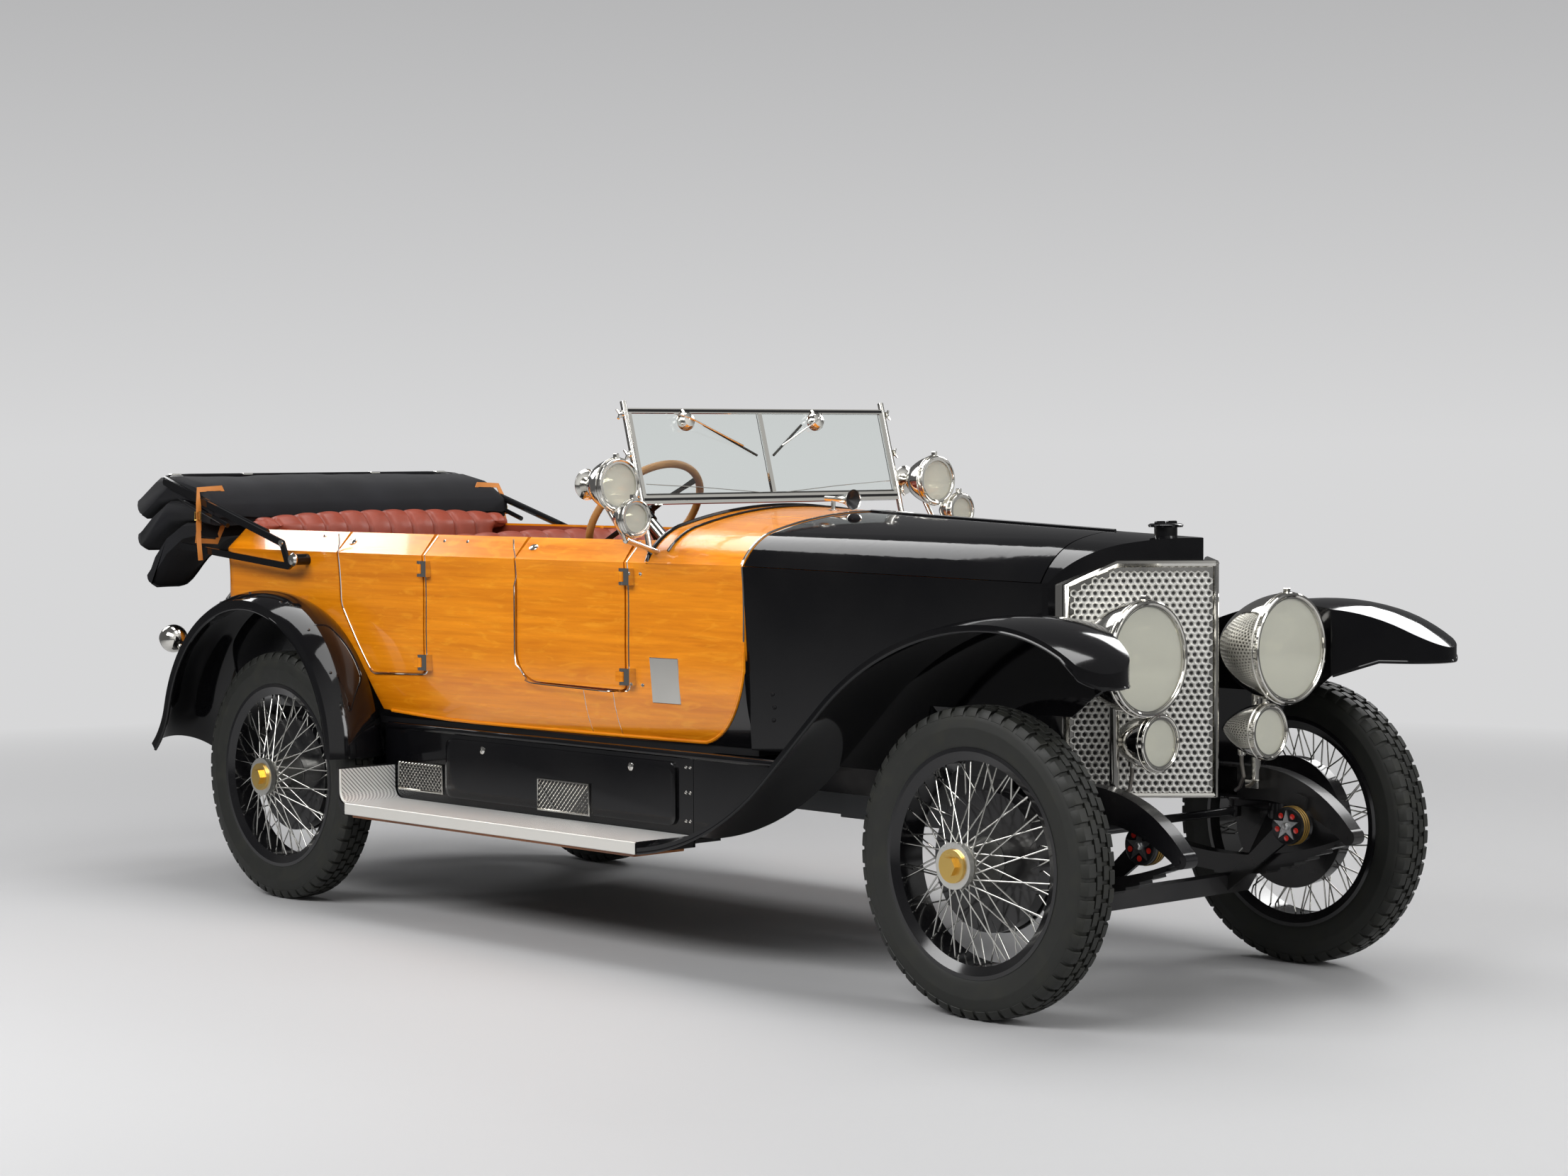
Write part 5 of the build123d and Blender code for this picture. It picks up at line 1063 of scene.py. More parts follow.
@dataclass
class Coachwork:
    """The wooden body, its doors and their bright trim."""

    front_hinge_x: float = 0.318
    rear_hinge_x: float = -0.697
    door_top: float = 1.300
    strip_radius: float = 0.0026
    scuttle_front_x: float = 0.809
    scuttle_rear_x: float = 0.404
    corner_x: float = 0.555
    plate_low: tuple[float, float] = (0.409, 0.790)
    plate_high: tuple[float, float] = (0.534, 0.936)
    front_bead: float = 0.0048
    rear_bead: float = 0.009
    horn_y: float = -0.05

    def coats(self) -> None:
        """Dresses the CAD nodes of the body."""
        coat(SIDE_WOOD, "body_tub", *DOORS)
        coat(WOOD, "scuttle", "dashboard")
        coat(FLOOR_WOOD, "floor")
        coat(BLACK, "bonnet_left", "bonnet_right", "bonnet_sides")
        coat(NICKEL, "door_hinges")

    @staticmethod
    def rounded(points: Sequence[Point]) -> list[tuple[float, float]]:
        """Rounds the corners of an open outline.

        Args:
            points: The corners as x, z and radius.

        Returns:
            The outline as x and z.
        """
        out = [points[0][:2]]
        for before, corner, after in zip(points, points[1:], points[2:]):
            here = Vector(corner[:2])
            back, ahead = Vector(before[:2]) - here, Vector(after[:2]) - here
            cut = corner[2] / math.tan(back.angle(ahead) / 2)
            first, last = here + back.normalized() * cut, here + ahead.normalized() * cut
            for t in (step / 8 for step in range(9)):
                out.append(tuple((1 - t) ** 2 * first + 2 * t * (1 - t) * here + t * t * last))
        out.append(points[-1][:2])
        return out

    def door_outlines(self) -> dict[str, list[tuple[float, float]]]:
        """Returns the lower outline of each door as x and z, from the hinge edge to the rear edge."""
        fx, rx, top = self.front_hinge_x, self.rear_hinge_x, self.door_top
        front = ((fx, top, 0), (fx, 0.820, 0.03), (fx - 0.535, 0.830, 0.10), (fx - 0.535, top, 0))
        rear = ((rx, top, 0), (rx, 0.828, 0.03), (rx - 0.322, 0.816, 0.05), (rx - 0.498, 1.052, 0.09),
                (rx - 0.512, top, 0))
        return {"front": self.rounded(front), "rear": self.rounded(rear)}

    def door_trim(self) -> None:
        """Builds the bright strip and key plate of each door."""
        ahead = Vector((1, 0, 0))
        for end, outline in self.door_outlines().items():
            path = []
            for (x0, z0), (x1, z1) in zip(outline, outline[1:]):
                count = max(1, int(math.hypot(x1 - x0, z1 - z0) / 0.03))
                path.extend((x0 + (x1 - x0) * k / count, z0 + (z1 - z0) * k / count) for k in range(count))
            path.append(outline[-1])
            key_x = -0.165 if end == "front" else -1.165
            for hand, side in SIDES:
                skin, body = Skin(f"door_{end}_{hand}", "body_tub"), f"{end}_door_{hand}"
                strip, key = Form(), Form()
                strip.tube([skin.side(x - 0.003, z, side) for x, z in path], self.strip_radius, 6)
                strip.fit(f"door_strip_{end}_{hand}", NICKEL, body=body)
                seat, slope = skin.side(key_x, 1.272, side), skin.side(key_x, 1.290, side)
                up = (slope - seat).normalized()
                place = axes_place(seat, ahead, up, ahead.cross(up).normalized() * -side)
                key.lathe(KEY_PLATE, place @ Matrix.Diagonal((1.0, 0.62, 1.0, 1.0)), 32)
                key.block((-0.0025, -0.008, 0.004), (0.0025, 0.008, 0.0052), place)
                key.fit(f"key_plate_{end}_{hand}", NICKEL, body=body)

    @staticmethod
    def scuttle_arc(x: float, reach: float) -> list[Vector]:
        """Returns points over the scuttle from side to side.

        Args:
            x: The arc's place along the car.
            reach: Half width of the line that the arc is cast towards.

        Returns:
            The points on the scuttle's skin.
        """
        skin = Skin("scuttle")
        arc = []
        for a in (math.pi * k / 40 for k in range(41)):
            start = (x, 1.2 * math.cos(a), 1.235 + 0.9 * math.sin(a))
            arc.append(skin.toward(start, (x, reach * math.cos(a), 1.20)))
        return arc

    def side_trim(self) -> None:
        """Builds the plates, belt line, studs and strips that stay on the body."""
        skin = Skin("body_tub", *DOORS, "scuttle")
        bright, dark, moulding = Form(), Form(), Form()
        front_arc = self.scuttle_arc(self.scuttle_front_x, 0.40)
        bright.tube([p + Vector((0, 0, 0.0005)) for p in front_arc], self.front_bead)
        (x0, z0), (x1, z1) = self.plate_low, self.plate_high
        half_x, half_z = (x1 - x0) / 2, (z1 - z0) / 2
        for side in HANDS:
            bright.tube([skin.side(0.8115, z, side) for z in (1.232, 1.18, 1.12, 1.06, 1.00)], 0.0030, 6)
            plate = [skin.side(x, z, side) for x, z in ((x0, z0), (x1, z0), (x1, z1), (x0, z1))]
            along, up = (plate[1] - plate[0]).normalized(), (plate[3] - plate[0]).normalized()
            place = axes_place(sum(plate, Vector()) / 4, along, up, along.cross(up).normalized() * -side)
            bright.block((-half_x, -half_z, -0.002), (half_x, half_z, 0.0035), place, 0.0015)
            for x in (0.094, 0.232):
                bright.tube([skin.side(x, z, side) for z in (0.815, 0.77, 0.72, 0.672)], 0.0014, 6)
            for x, z in ((-1.36, 1.288), (-0.645, 1.284), (-0.52, 1.284), (0.372, 1.20), (0.372, 0.845)):
                bright.stud(BODY_STUD, skin.side(x, z, side), (0, side, 0.15), 12)
        bright.fit("body_bright_trim", NICKEL)
        rear_arc = self.scuttle_arc(self.scuttle_rear_x, 0.42)
        dark.tube(rear_arc, self.rear_bead)
        dark.tube([p + Vector((0.075, 0, 0.0005)) for p in rear_arc[4:37]], 0.004, 6)
        dark.fit("scuttle_black_bead", BLACK)
        line = [(x, 0.660 + 0.025 * (x - 0.1) ** 2) for x in (-0.96 + 0.505 * k / 10 * 3 for k in range(11))]
        line += [(self.corner_x + 0.26 * math.sin(a), 0.967 - 0.30 * math.cos(a))
                 for a in (QUARTER * k / 16 for k in range(1, 17))]
        for side in HANDS:
            moulding.tube([skin.side(min(x, 0.8105), max(z, 0.672), side) for x, z in line], 0.0065)
        moulding.fit("body_lower_moulding", WOOD)

    def bonnet_trim(self) -> None:
        """Builds the bonnet's side bolts and the forward horn on the scuttle."""
        skin = Skin("bonnet_sides")
        for hand, side in SIDES:
            bolts = Form()
            for x, z in ((0.90, 0.84), (0.905, 0.80), (0.90, 0.76), (1.70, 0.80), (1.70, 0.72)):
                bolts.stud(SIDE_BOLT, skin.side(x, z, side), (0.22, side, 0.1), 12)
            bolts.fit(f"bonnet_side_bolts_{hand}", CHASSIS)
        horn, throat = Form(), Form()
        y, post_x = self.horn_y, 0.690
        z = Skin("scuttle").top(0.700, y).z
        axis = axis_place((0.755, y, z + 0.036), (1, 0, -0.03))
        horn.lathe(HORN_BELL, axis, 32)
        horn.tube([(post_x, y, z + 0.034), (post_x, y, z - 0.002)], 0.007, 10)
        horn.stud(HORN_FOOT, (post_x, y, z), (0.05, 0, 1), 20)
        horn.fit("scuttle_horn", NICKEL)
        # Painted shade: the throat is a dark cone lining the inside of the bright bell, standing in for the
        # shade in its hollow.
        throat.lathe(HORN_THROAT, axis, 32)
        throat.fit("scuttle_horn_painted_shade_throat", DIAL)

    def build(self) -> None:
        """Builds the body's dress."""
        self.coats()
        self.door_trim()
        self.side_trim()
        self.bonnet_trim()


@dataclass
class Lamps:
    """The bright lamps, their rims, braided leads and tail lenses.

    Each lamp is the x, y and z of its lens on the left, and the lens's radius.
    """

    head: tuple[float, float, float, float] = (2.243, 0.321, 1.002, 0.155)
    driving: tuple[float, float, float, float] = (2.224, 0.248, 0.759, 0.074)
    upper: tuple[float, float, float, float] = (0.408, 0.716, 1.484, 0.075)
    lower: tuple[float, float, float, float] = (0.508, 0.733, 1.381, 0.051)
    tail: Point = (-2.104 - 0.044, 0.760, 0.898)

    def front(self, rims: Form, bulbs: Form, side: int) -> None:
        """Adds the rims, hinges and bulbs of one side's lamps.

        Args:
            rims: Where the bright pieces go.
            bulbs: Where the bulbs go.
            side: The car's side.
        """
        for x, y, z, r in (self.head, self.driving, self.upper, self.lower):
            face = axis_place((x, side * y, z), (1, 0, 0))
            w = 0.0055 * (r / 0.1) ** 0.5
            rims.lathe(bead(r + 0.004, 0.006, w, w, 10), face, 64, closed=True)
            rims.lathe(bead(r + 0.011, -0.010, 0.4 * w, 0.6 * w, 8), face, 64, closed=True)
            rims.block((-0.010, -0.006, -0.008), (0.010, 0.006, 0.010),
                       Matrix.Translation((x - 0.010, side * y, z + r + 0.014)), 0.002)
            bulbs.lathe([(wide * r, high * r) for wide, high in BULB], face, 20)
        x, y, z, _ = self.upper
        rims.stud(LAMP_BACK, (x - 0.150 + 0.012, side * y, z), (-1, 0, 0), 40)

    def lead(self, rims: Form, leads: Form, side: int) -> None:
        """Adds the braided lead of one driving lamp and its gland.

        Args:
            rims: Where the gland goes.
            leads: Where the lead goes.
            side: The car's side.
        """
        x, y, z, r = self.driving
        foot = x - 0.10
        path = ((foot, y, z - r * 0.72), (foot, y, z - 0.10), (foot, y + 0.01, z - 0.14),
                (x - 0.13, y + 0.03, z - 0.175), (x - 0.17, y + 0.06, z - 0.190))
        leads.tube(mirror(path, side), 0.006, 10)
        rims.stud(LEAD_GLAND, (foot, side * y, z - r * 0.70), (0, 0, -1), 16)

    def build(self) -> None:
        """Dresses the lamps and adds rims, bulbs, caps and leads."""
        coat(NICKEL, "front_lamp_stands", "scuttle_lamps", "tail_lamps")
        coat(LENS, "lamp_lenses")
        rims, bulbs, leads = Form(), Form(), Form()
        for hand, side in SIDES:
            self.front(rims, bulbs, side)
            self.lead(rims, leads, side)
            red = Form()
            spot = axis_place(mirror((self.tail,), side)[0], (-1, 0, 0))
            red.lathe(TAIL_LENS, spot, 32)
            red.fit(f"tail_lens_{hand}", RED)
            rims.lathe(bead(0.031, 0.002, 0.003, 0.003, 8), spot, 32, closed=True)
        rims.fit("lamp_rim_beads", NICKEL)
        bulbs.fit("lamp_bulbs", IVORY)
        leads.fit("driving_lamp_braided_leads", STEEL)


@dataclass
class Windscreen:
    """The raked screen's glass, wipers and wing nuts."""

    rake: float = math.radians(15.3)
    foot: Point = (0.361, 0.0, 1.419)
    height: float = 0.318

    def ahead(self) -> Vector:
        """Returns the direction that the screen faces."""
        return Vector((math.cos(self.rake), 0, math.sin(self.rake)))

    def at(self, u: float, v: float, out: float) -> Vector:
        """Returns a point by its place across, up and in front of the screen."""
        up = Vector((-math.sin(self.rake), 0, math.cos(self.rake)))
        return Vector(self.foot) + Vector((0, u, 0)) + up * v + self.ahead() * out

    def path(self, *points: Point) -> list[Vector]:
        """Returns points by their places across, up and in front of the screen."""
        return [self.at(*point) for point in points]

    def build(self) -> None:
        """Dresses the screen and adds wipers, nuts and the dark inlay."""
        coat(NICKEL, "windscreen_frame")
        coat(PANE, "windscreen_glass")
        bright, dark, inlay = Form(), Form(), Form()
        for u, lean in ((-0.342, 0.235), (0.238, -0.17)):
            bright.stud(WIPER_MOTOR, self.at(u, 0.272, 0.006), self.ahead(), 28)
            bright.tube(self.path((u, 0.272, 0.040), (u, 0.300, 0.016), (u, 0.312, 0.009)), 0.005)
            arm = self.path((u - lean * 0.2, 0.298, 0.020), (u, 0.276, 0.042), (u + lean, 0.190, 0.013))
            bright.tube(arm, 0.0028)
            blade = self.path((u + lean * 0.35, 0.262, 0.0075), (u + lean * 1.25, 0.158, 0.0075))
            dark.tube(blade, 0.0042, 6)
        for side in HANDS:
            for v in (0.030, 0.165, 0.300):
                bright.stud(WING_NUT, self.at(side * 0.592, v, 0.0), (0, side, 0), 16)
                for lift in (-1, 1):
                    wing = self.path((side * 0.602, v, 0.0), (side * 0.612, v + lift * 0.016, 0.0))
                    bright.tube(wing, 0.004)
            wire = ((side * 0.02, 0.030, 0.006), (side * 0.30, 0.052, 0.006), (side * 0.55, 0.066, 0.006))
            bright.tube(self.path(*wire), 0.0014, 6)
        dark.tube(self.path((-0.556, 0.031, 0.004), (0.556, 0.031, 0.004)), 0.004, 6)
        bright.fit("screen_wipers_and_nuts", NICKEL)
        dark.fit("screen_wiper_blades", RUBBER)
        for v in (self.height - 0.008, 0.015):
            bar = self.path((-0.57, v, 0.0075), (0.57, v, 0.0075))
            inlay.tube(bar, 0.006, 4, squash=(1.0, 0.25), up=self.ahead())
        inlay.fit("screen_black_inlay", BLACK)


@dataclass
class Seat:
    """One bench of pleated leather: a cushion and a back."""

    name: str
    cushion_front: float
    cushion_rear: float
    back_foot: float
    back_top: float
    back_top_z: float
    roll_z: float
    top_half: float
    dome: float
    half_width: float = 0.540
    box_top: float = 0.790
    cushion_top: float = 0.930
    back_thickness: float = 0.110
    pleat: float = 0.100
    seam: float = 0.0065
    voxel: float = 0.011
    corner: float = 0.055
    inset: float = 0.016
    side_inset: float = 0.014
    pressure: float = 4.0
    cloth_steps: int = 16

    def puffed(self, name: str, form: Form, cap: float) -> bpy.types.Object:
        """Swells a closed form as a stuffed pad.

        Args:
            name: The piece's name.
            form: The slightly small closed form.
            cap: The most that a point may move.

        Returns:
            The swollen pad with one subdivision.
        """
        piece = solid(name, form.verts, form.faces, 180.0)
        bpy.context.view_layer.objects.active = piece
        remesh = piece.modifiers.new("even", "REMESH")
        remesh.mode, remesh.voxel_size = "VOXEL", self.voxel
        bpy.ops.object.modifier_apply(modifier="even")
        rest = [v.co.copy() for v in piece.data.vertices]
        cloth = piece.modifiers.new("fill", "CLOTH")
        cloth.settings.use_pressure = True
        cloth.settings.uniform_pressure_force = self.pressure
        cloth.settings.effector_weights.gravity = 0.0
        cloth.collision_settings.use_collision = False
        scene = bpy.context.scene
        for step in range(1, self.cloth_steps + 1):
            scene.frame_set(step)
        bpy.ops.object.modifier_apply(modifier="fill")
        scene.frame_set(1)
        for vert, start in zip(piece.data.vertices, rest):
            move = vert.co - start
            if move.length > cap:
                vert.co = start + move.normalized() * cap
        smooth = piece.modifiers.new("fine", "SUBSURF")
        smooth.levels = smooth.render_levels = 1
        bpy.ops.object.modifier_apply(modifier="fine")
        return piece

    def sew(self, piece: bpy.types.Object, facing: Vector) -> None:
        """Presses the sewn channels into a pad.

        Args:
            piece: The pad.
            facing: The side that carries the channels.
        """
        mesh, foot = piece.data, self.box_top + 0.001
        normals = [v.normal.copy() for v in mesh.vertices]
        for vert, normal in zip(mesh.vertices, normals):
            share = max(0.0, normal.dot(facing), normal.z)
            edge = (self.top_half if vert.co.z > self.roll_z else self.half_width) - 0.055
            if abs(vert.co.y) < edge and share > 0.05:
                phase = (vert.co.y / self.pleat) % 1.0
                gap = min(phase, 1.0 - phase) * self.pleat
                press = math.exp(-(gap / self.seam) ** 2)
                crown = 1.0 - (gap / (self.pleat / 2) - 1.0) ** 2
                vert.co += normal * (0.007 * crown - 0.009 * press) * min(1.0, share * 1.6)
            if vert.co.z < foot + 0.004:
                vert.co.z = max(vert.co.z, foot)
        mesh.polygons.foreach_set("use_smooth", [True] * len(mesh.polygons))
        mesh.update()

    @staticmethod
    def level(rear: float, front: float, half: float, z: float, corner: float) -> list[Vector]:
        """Gives one level of a pad with rounded corners.

        Args:
            rear: Lowest x.
            front: Highest x.
            half: Half width.
            z: Height of the level.
            corner: Radius of the corners.

        Returns:
            The points of the level.
        """
        points = []
        for quarter, (x, y) in enumerate(((front, half), (rear, half), (rear, -half), (front, -half))):
            cx, cy = x - math.copysign(corner, x - (rear + front) / 2), y - math.copysign(corner, y)
            for step in range(6):
                angle = (quarter + step / 5) * math.pi / 2
                points.append(Vector((cx + corner * math.cos(angle), cy + corner * math.sin(angle), z)))
        return points

    def cushion(self) -> bpy.types.Object:
        """Builds the seat cushion."""
        form = Form()
        half, foot, top = self.half_width - self.inset, self.box_top, self.cushion_top
        front, rear = self.cushion_front - self.inset, self.cushion_rear + self.inset
        levels = ((foot + 0.001, 0.012), (foot + 0.03, 0.0), (top - 0.050, 0.0), (top - 0.024, 0.016),
                  (top - 0.014, 0.060))
        form.grid([self.level(rear + pull, front - pull, half - pull, z, self.corner)
                   for z, pull in levels], ends=True)
        piece = self.puffed(f"{self.name}_seat_cushion", form, 0.024)
        self.sew(piece, Vector((0, 0, 1)))
        return piece

    def back(self) -> bpy.types.Object:
        """Builds the leaning back with its rounded top."""
        form = Form()
        foot, roll, top = self.box_top, self.roll_z, self.back_top_z
        lean = (self.back_top - self.back_foot) / (top - foot)
        low, high = self.half_width - self.side_inset, self.top_half - self.side_inset
        rings = []
        for z, thin, half in ((foot + 0.001, 0.016, low), (foot + 0.04, 0.012, low), (1.05, 0.012, low),
                              (roll - 0.014, 0.012, low), (roll + 0.010, 0.012, high),
                              (roll + 0.45 * (top - roll), 0.013, high), (top - 0.026, 0.021, high - 0.012),
                              (top - 0.014, 0.042, high - 0.036)):
            x0 = self.back_foot + lean * (z - foot)
            front = x0 + self.back_thickness - thin
            rings.append(self.level(x0 + thin, front, half, z, min(0.024, (front - x0 - thin) * 0.45)))
        form.grid(rings, ends=True)
        piece = self.puffed(f"{self.name}_seat_back", form, 0.022)
        for vert in piece.data.vertices:
            if vert.co.z > roll:
                fall = self.dome * (abs(vert.co.y) / self.top_half) ** 2.5
                vert.co.z = roll + (vert.co.z - roll) * (1.0 - fall)
        piece.data.update()
        self.sew(piece, Vector((1, 0, -lean)).normalized())
        return piece

    def build(self) -> None:
        """Builds the bench in place of its CAD solids."""
        for piece, node in ((self.cushion(), "seat_cushions"), (self.back(), "seat_backs")):
            dress(piece, CAR, LEATHER, node)
        welt = Form()
        w = self.half_width - self.corner - 0.015
        x, z = self.cushion_front - 0.008, self.cushion_top - 0.040
        welt.tube([(x, -w, z), (x, w, z)], 0.0045)
        welt.fit(f"{self.name}_seat_welts", PIPING)


@dataclass
class FoldedHood:
    """The folded hood: cloth layers, bows, irons and tie straps."""

    half_width: float = 0.688
    stations: int = 56
    wrinkle: float = 0.008
    iron_face_y: float = 0.7005

    def layer(self, form: Form, spine: Profile, thickness: float, droop: float, seed: float) -> None:
        """Adds one thick fold of cloth across the car.

        Args:
            form: Where the fold goes.
            spine: Side view points from the front edge to the rear bend, as x and z at the car's sides.
            thickness: Thickness of the fold at its bend.
            droop: How much higher the fold lies in the middle, clear of the spare wheel.
            seed: Starts the wrinkles.
        """
        rings = []
        (x0, z0), (x1, z1) = spine[-2:]
        along = Vector((x1 - x0, 0, z1 - z0)).normalized()
        up = Vector((-along.z, 0, along.x)) * (-1 if along.x < 0 else 1)
        for k in range(self.stations + 1):
            y = self.half_width * (2 * k / self.stations - 1)
            side = min(1.0, max(0.0, (abs(y) - 0.40) / 0.16))
            lift = droop * (1 - side * side * (3 - 2 * side))
            end = 1.0 - 0.35 * max(0.0, (abs(y) - self.half_width + 0.03) / 0.03) ** 2
            radius = thickness / 2 * end
            faces: list[list[Vector]] = []
            for face, start in ((1, seed), (-1, seed + 7)):
                faces.append([])
                for j, (x, z) in enumerate(spine):
                    t = j / (len(spine) - 1)
                    half = radius * (0.35 + 0.65 * math.sin(math.pi * min(1.0, 0.15 + 0.85 * t) * 0.62))
                    wave = self.wrinkle * noise.noise(Vector((x * 6 + start, y * 9, z * 6)))
                    faces[-1].append(Vector((x, y, z + lift * t + face * half + wave)))
            tip = Vector((x1, y, z1 + lift))
            bend = [tip + along * radius * 0.9 * math.cos(a) + up * radius * math.sin(a)
                    for a in map(math.radians, (60, 30, 0, -30, -60))]
            rings.append(faces[0] + bend + faces[1][::-1])
        form.grid(rings, ends=True)

    def cloth(self) -> None:
        """Builds the folded cloth."""
        form = Form()
        top = ((-1.945, 1.372), (-2.06, 1.430), (-2.20, 1.452), (-2.33, 1.440), (-2.43, 1.385))
        middle = ((-1.960, 1.345), (-2.10, 1.370), (-2.25, 1.362), (-2.36, 1.310), (-2.43, 1.262))
        bottom = ((-2.035, 1.300), (-2.15, 1.290), (-2.26, 1.235), (-2.34, 1.165), (-2.37, 1.120))
        for spine, thickness, droop, seed in ((top, 0.100, 0.0, 1.0), (middle, 0.095, 0.020, 4.0),
                                              (bottom, 0.090, 0.125, 9.0)):
            self.layer(form, spine, thickness, droop, seed)
        piece = form.fit("hood_cloth_folds", CLOTH, "folded_hood", crease=60.0)

    def bows(self) -> None:
        """Builds the bows and the bright studs."""
        bow, studs = Form(), Form()
        path = [(-1.60, -0.680, 1.300), (-1.95, -0.685, 1.395), (-2.22, -0.686, 1.478)]
        corner = [(-2.275, -0.676, 1.490), (-2.296, -0.640, 1.494)]
        across = [(-2.300, y, 1.496) for y in (-0.56, -0.3, 0.0, 0.3, 0.56)]
        bow.tube(path + corner + across + mirror(reversed(path + corner), -1), 0.011, 10)
        low = [(x + 0.10, y, z - 0.075) for x, y, z in path[1:] + corner + across]
        bow.tube(low + mirror(reversed(low[:-3]), -1), 0.009, 10)
        bow.fit("hood_bows", BLACK)
        for y in (-0.62, -0.3, 0.3, 0.62):
            studs.block((-2.314, y - 0.022, 1.500), (-2.290, y + 0.022, 1.507), bevel=0.002)
        for side in HANDS:
            studs.stud(IRON_KNOB, (-1.403, side * self.iron_face_y, 1.206), (0, side, 0), 24)
            studs.stud(IRON_PIN, (-1.483, side * self.iron_face_y, 1.262), (0, side, 0), 16)
        studs.fit("hood_studs", NICKEL)
        coat(BLACK, "hood_irons")

    def straps(self) -> None:
        """Builds the tie straps with their buckles."""
        strap, buckle = Form(), Form()
        flat: dict = {"squash": (1.0, 0.17), "up": (1, 0, 0.05)}
        loop = ((-2.02, 0.600, 1.455), (-2.02, 0.700, 1.450), (-2.00, 0.712, 1.40), (-2.00, 0.712, 1.30),
                (-2.03, 0.705, 1.262), (-2.04, 0.610, 1.255), (-2.03, 0.585, 1.32), (-2.02, 0.585, 1.42))
        end = ((-2.00, 0.714, 1.330), (-1.985, 0.722, 1.26), (-1.978, 0.720, 1.19))
        ring = ((-2.018, 0.716, 1.338), (-1.982, 0.716, 1.338), (-1.982, 0.716, 1.368),
                (-2.018, 0.716, 1.368))
        tongue = ((-2.0, 0.716, 1.338), (-2.0, 0.718, 1.368))
        for side in HANDS:
            strap.tube(mirror(loop, side), 0.014, 4, closed=True, **flat)
            strap.tube(mirror(end, side), 0.013, 4, **flat)
            buckle.tube(mirror(ring, side), 0.0032, closed=True)
            buckle.tube(mirror(tongue, side), 0.0022, 6)
        strap.fit("hood_tie_straps", STRAP)
        buckle.fit("hood_buckles", GOLD)

    def build(self) -> None:
        """Builds the folded hood."""
        self.cloth()
        self.bows()
        self.straps()


@dataclass
class Fenders:
    """Beaded edges and rivets of the black fenders."""

    bead: float = 0.0055
    edge_y: float = 0.850 - 0.003
    rear_x: float = -1.515
    rear_z: float = 0.530
    rear_radius: float = 0.565
    lip: float = 0.062
    flare: float = 0.260

    def crown(self, depth: float) -> list[tuple[float, float]]:
        """Returns the front fender's side line at a depth under its crown.

        Args:
            depth: Distance below the crown line.

        Returns:
            Points as x and z from the running board to the tip.
        """
        slope, radius, crest_radius, nose = math.radians(42.5), 1.000, 1.010, 0.622
        foot_x, foot_z, ramp, start = 0.520, 0.383, 0.331, 0.1203
        pts = [(foot_x + (radius + depth) * math.sin(a), foot_z + radius - (radius + depth) * math.cos(a))
               for a in (start + (slope - start) * k / 14 for k in range(15))]
        top_x = foot_x + radius * math.sin(slope) + ramp * math.cos(slope) + crest_radius * math.sin(slope)
        top_z = foot_z + (radius + crest_radius) * (1 - math.cos(slope)) + ramp * math.sin(slope)
        for r, begin, end, count in ((crest_radius, -slope, 0.0, 20), (nose, 0.0, 0.6630, 14)):
            for a in (begin + (end - begin) * k / count for k in range(count + 1)):
                pts.append((top_x + (r - depth) * math.sin(a), top_z - r + (r - depth) * math.cos(a)))
        return pts

    def front_line(self) -> list[Point]:
        """Returns the left front fender's edge, from the running board round the tip to the inner side."""
        path = [(x, self.edge_y, z) for x, z in self.crown(0.036) if x < 2.39]
        for a in (QUARTER * k / 12 for k in range(4, 13)):
            x, y = 2.403 + 0.100 * math.sin(a), 0.758 + 0.100 * math.cos(a)
            path.append((x, min(y, self.edge_y), 0.955 + 0.055 * max(0.0, (2.495 - x) / 0.095)))
        for b in (1.0968 * k / 8 for k in range(1, 9)):
            path.append((2.370 + 0.133 * math.cos(b), 0.7505 - 0.133 * math.sin(b), 0.955))
        return path + [(2.364, 0.597, 0.955), (2.300, 0.564, 0.932), (2.240, 0.534, 0.910)]

    def rear_line(self) -> list[Point]:
        """Returns the left rear fender's edge, from its flared tail over the wheel to the front."""
        lean, turn, r = math.radians(14), math.radians(34), self.rear_radius - self.lip
        reach, hollow = self.rear_radius + self.flare, self.flare + self.lip
        arch = []
        for a in (lean + turn * (8 - k) / 8 for k in range(9)):
            arch.append((self.rear_x - reach * math.cos(lean) + hollow * math.cos(a), self.edge_y,
                         self.rear_z + reach * math.sin(lean) - hollow * math.sin(a)))
        for a in (lean + (math.pi - lean) * k / 45 for k in range(1, 46)):
            arch.append((self.rear_x - r * math.cos(a), self.edge_y, self.rear_z + r * math.sin(a)))
        return arch

    def build(self) -> None:
        """Builds the beads and rivets and dresses the fenders."""
        coat(BLACK, "front_fenders", "rear_fenders")
        beads, rivets = Form(), Form()
        skin = Skin("front_fenders", "rear_fenders")
        for side in HANDS:
            beads.tube(mirror(self.front_line(), side), self.bead)
            beads.tube(mirror(self.rear_line(), side), self.bead)
            for a in (math.radians(28 + 20 * k) for k in range(7)):
                start, aim = ((self.rear_x - r * math.cos(a), side * 0.80, self.rear_z + r * math.sin(a))
                              for r in (0.9, 0.545))
                rivets.stud(RIVET, skin.toward(start, aim), (-math.cos(a), 0, math.sin(a)), 10)
        beads.fit("fender_edge_beads", BLACK)
        rivets.fit("fender_rivets", BLACK)


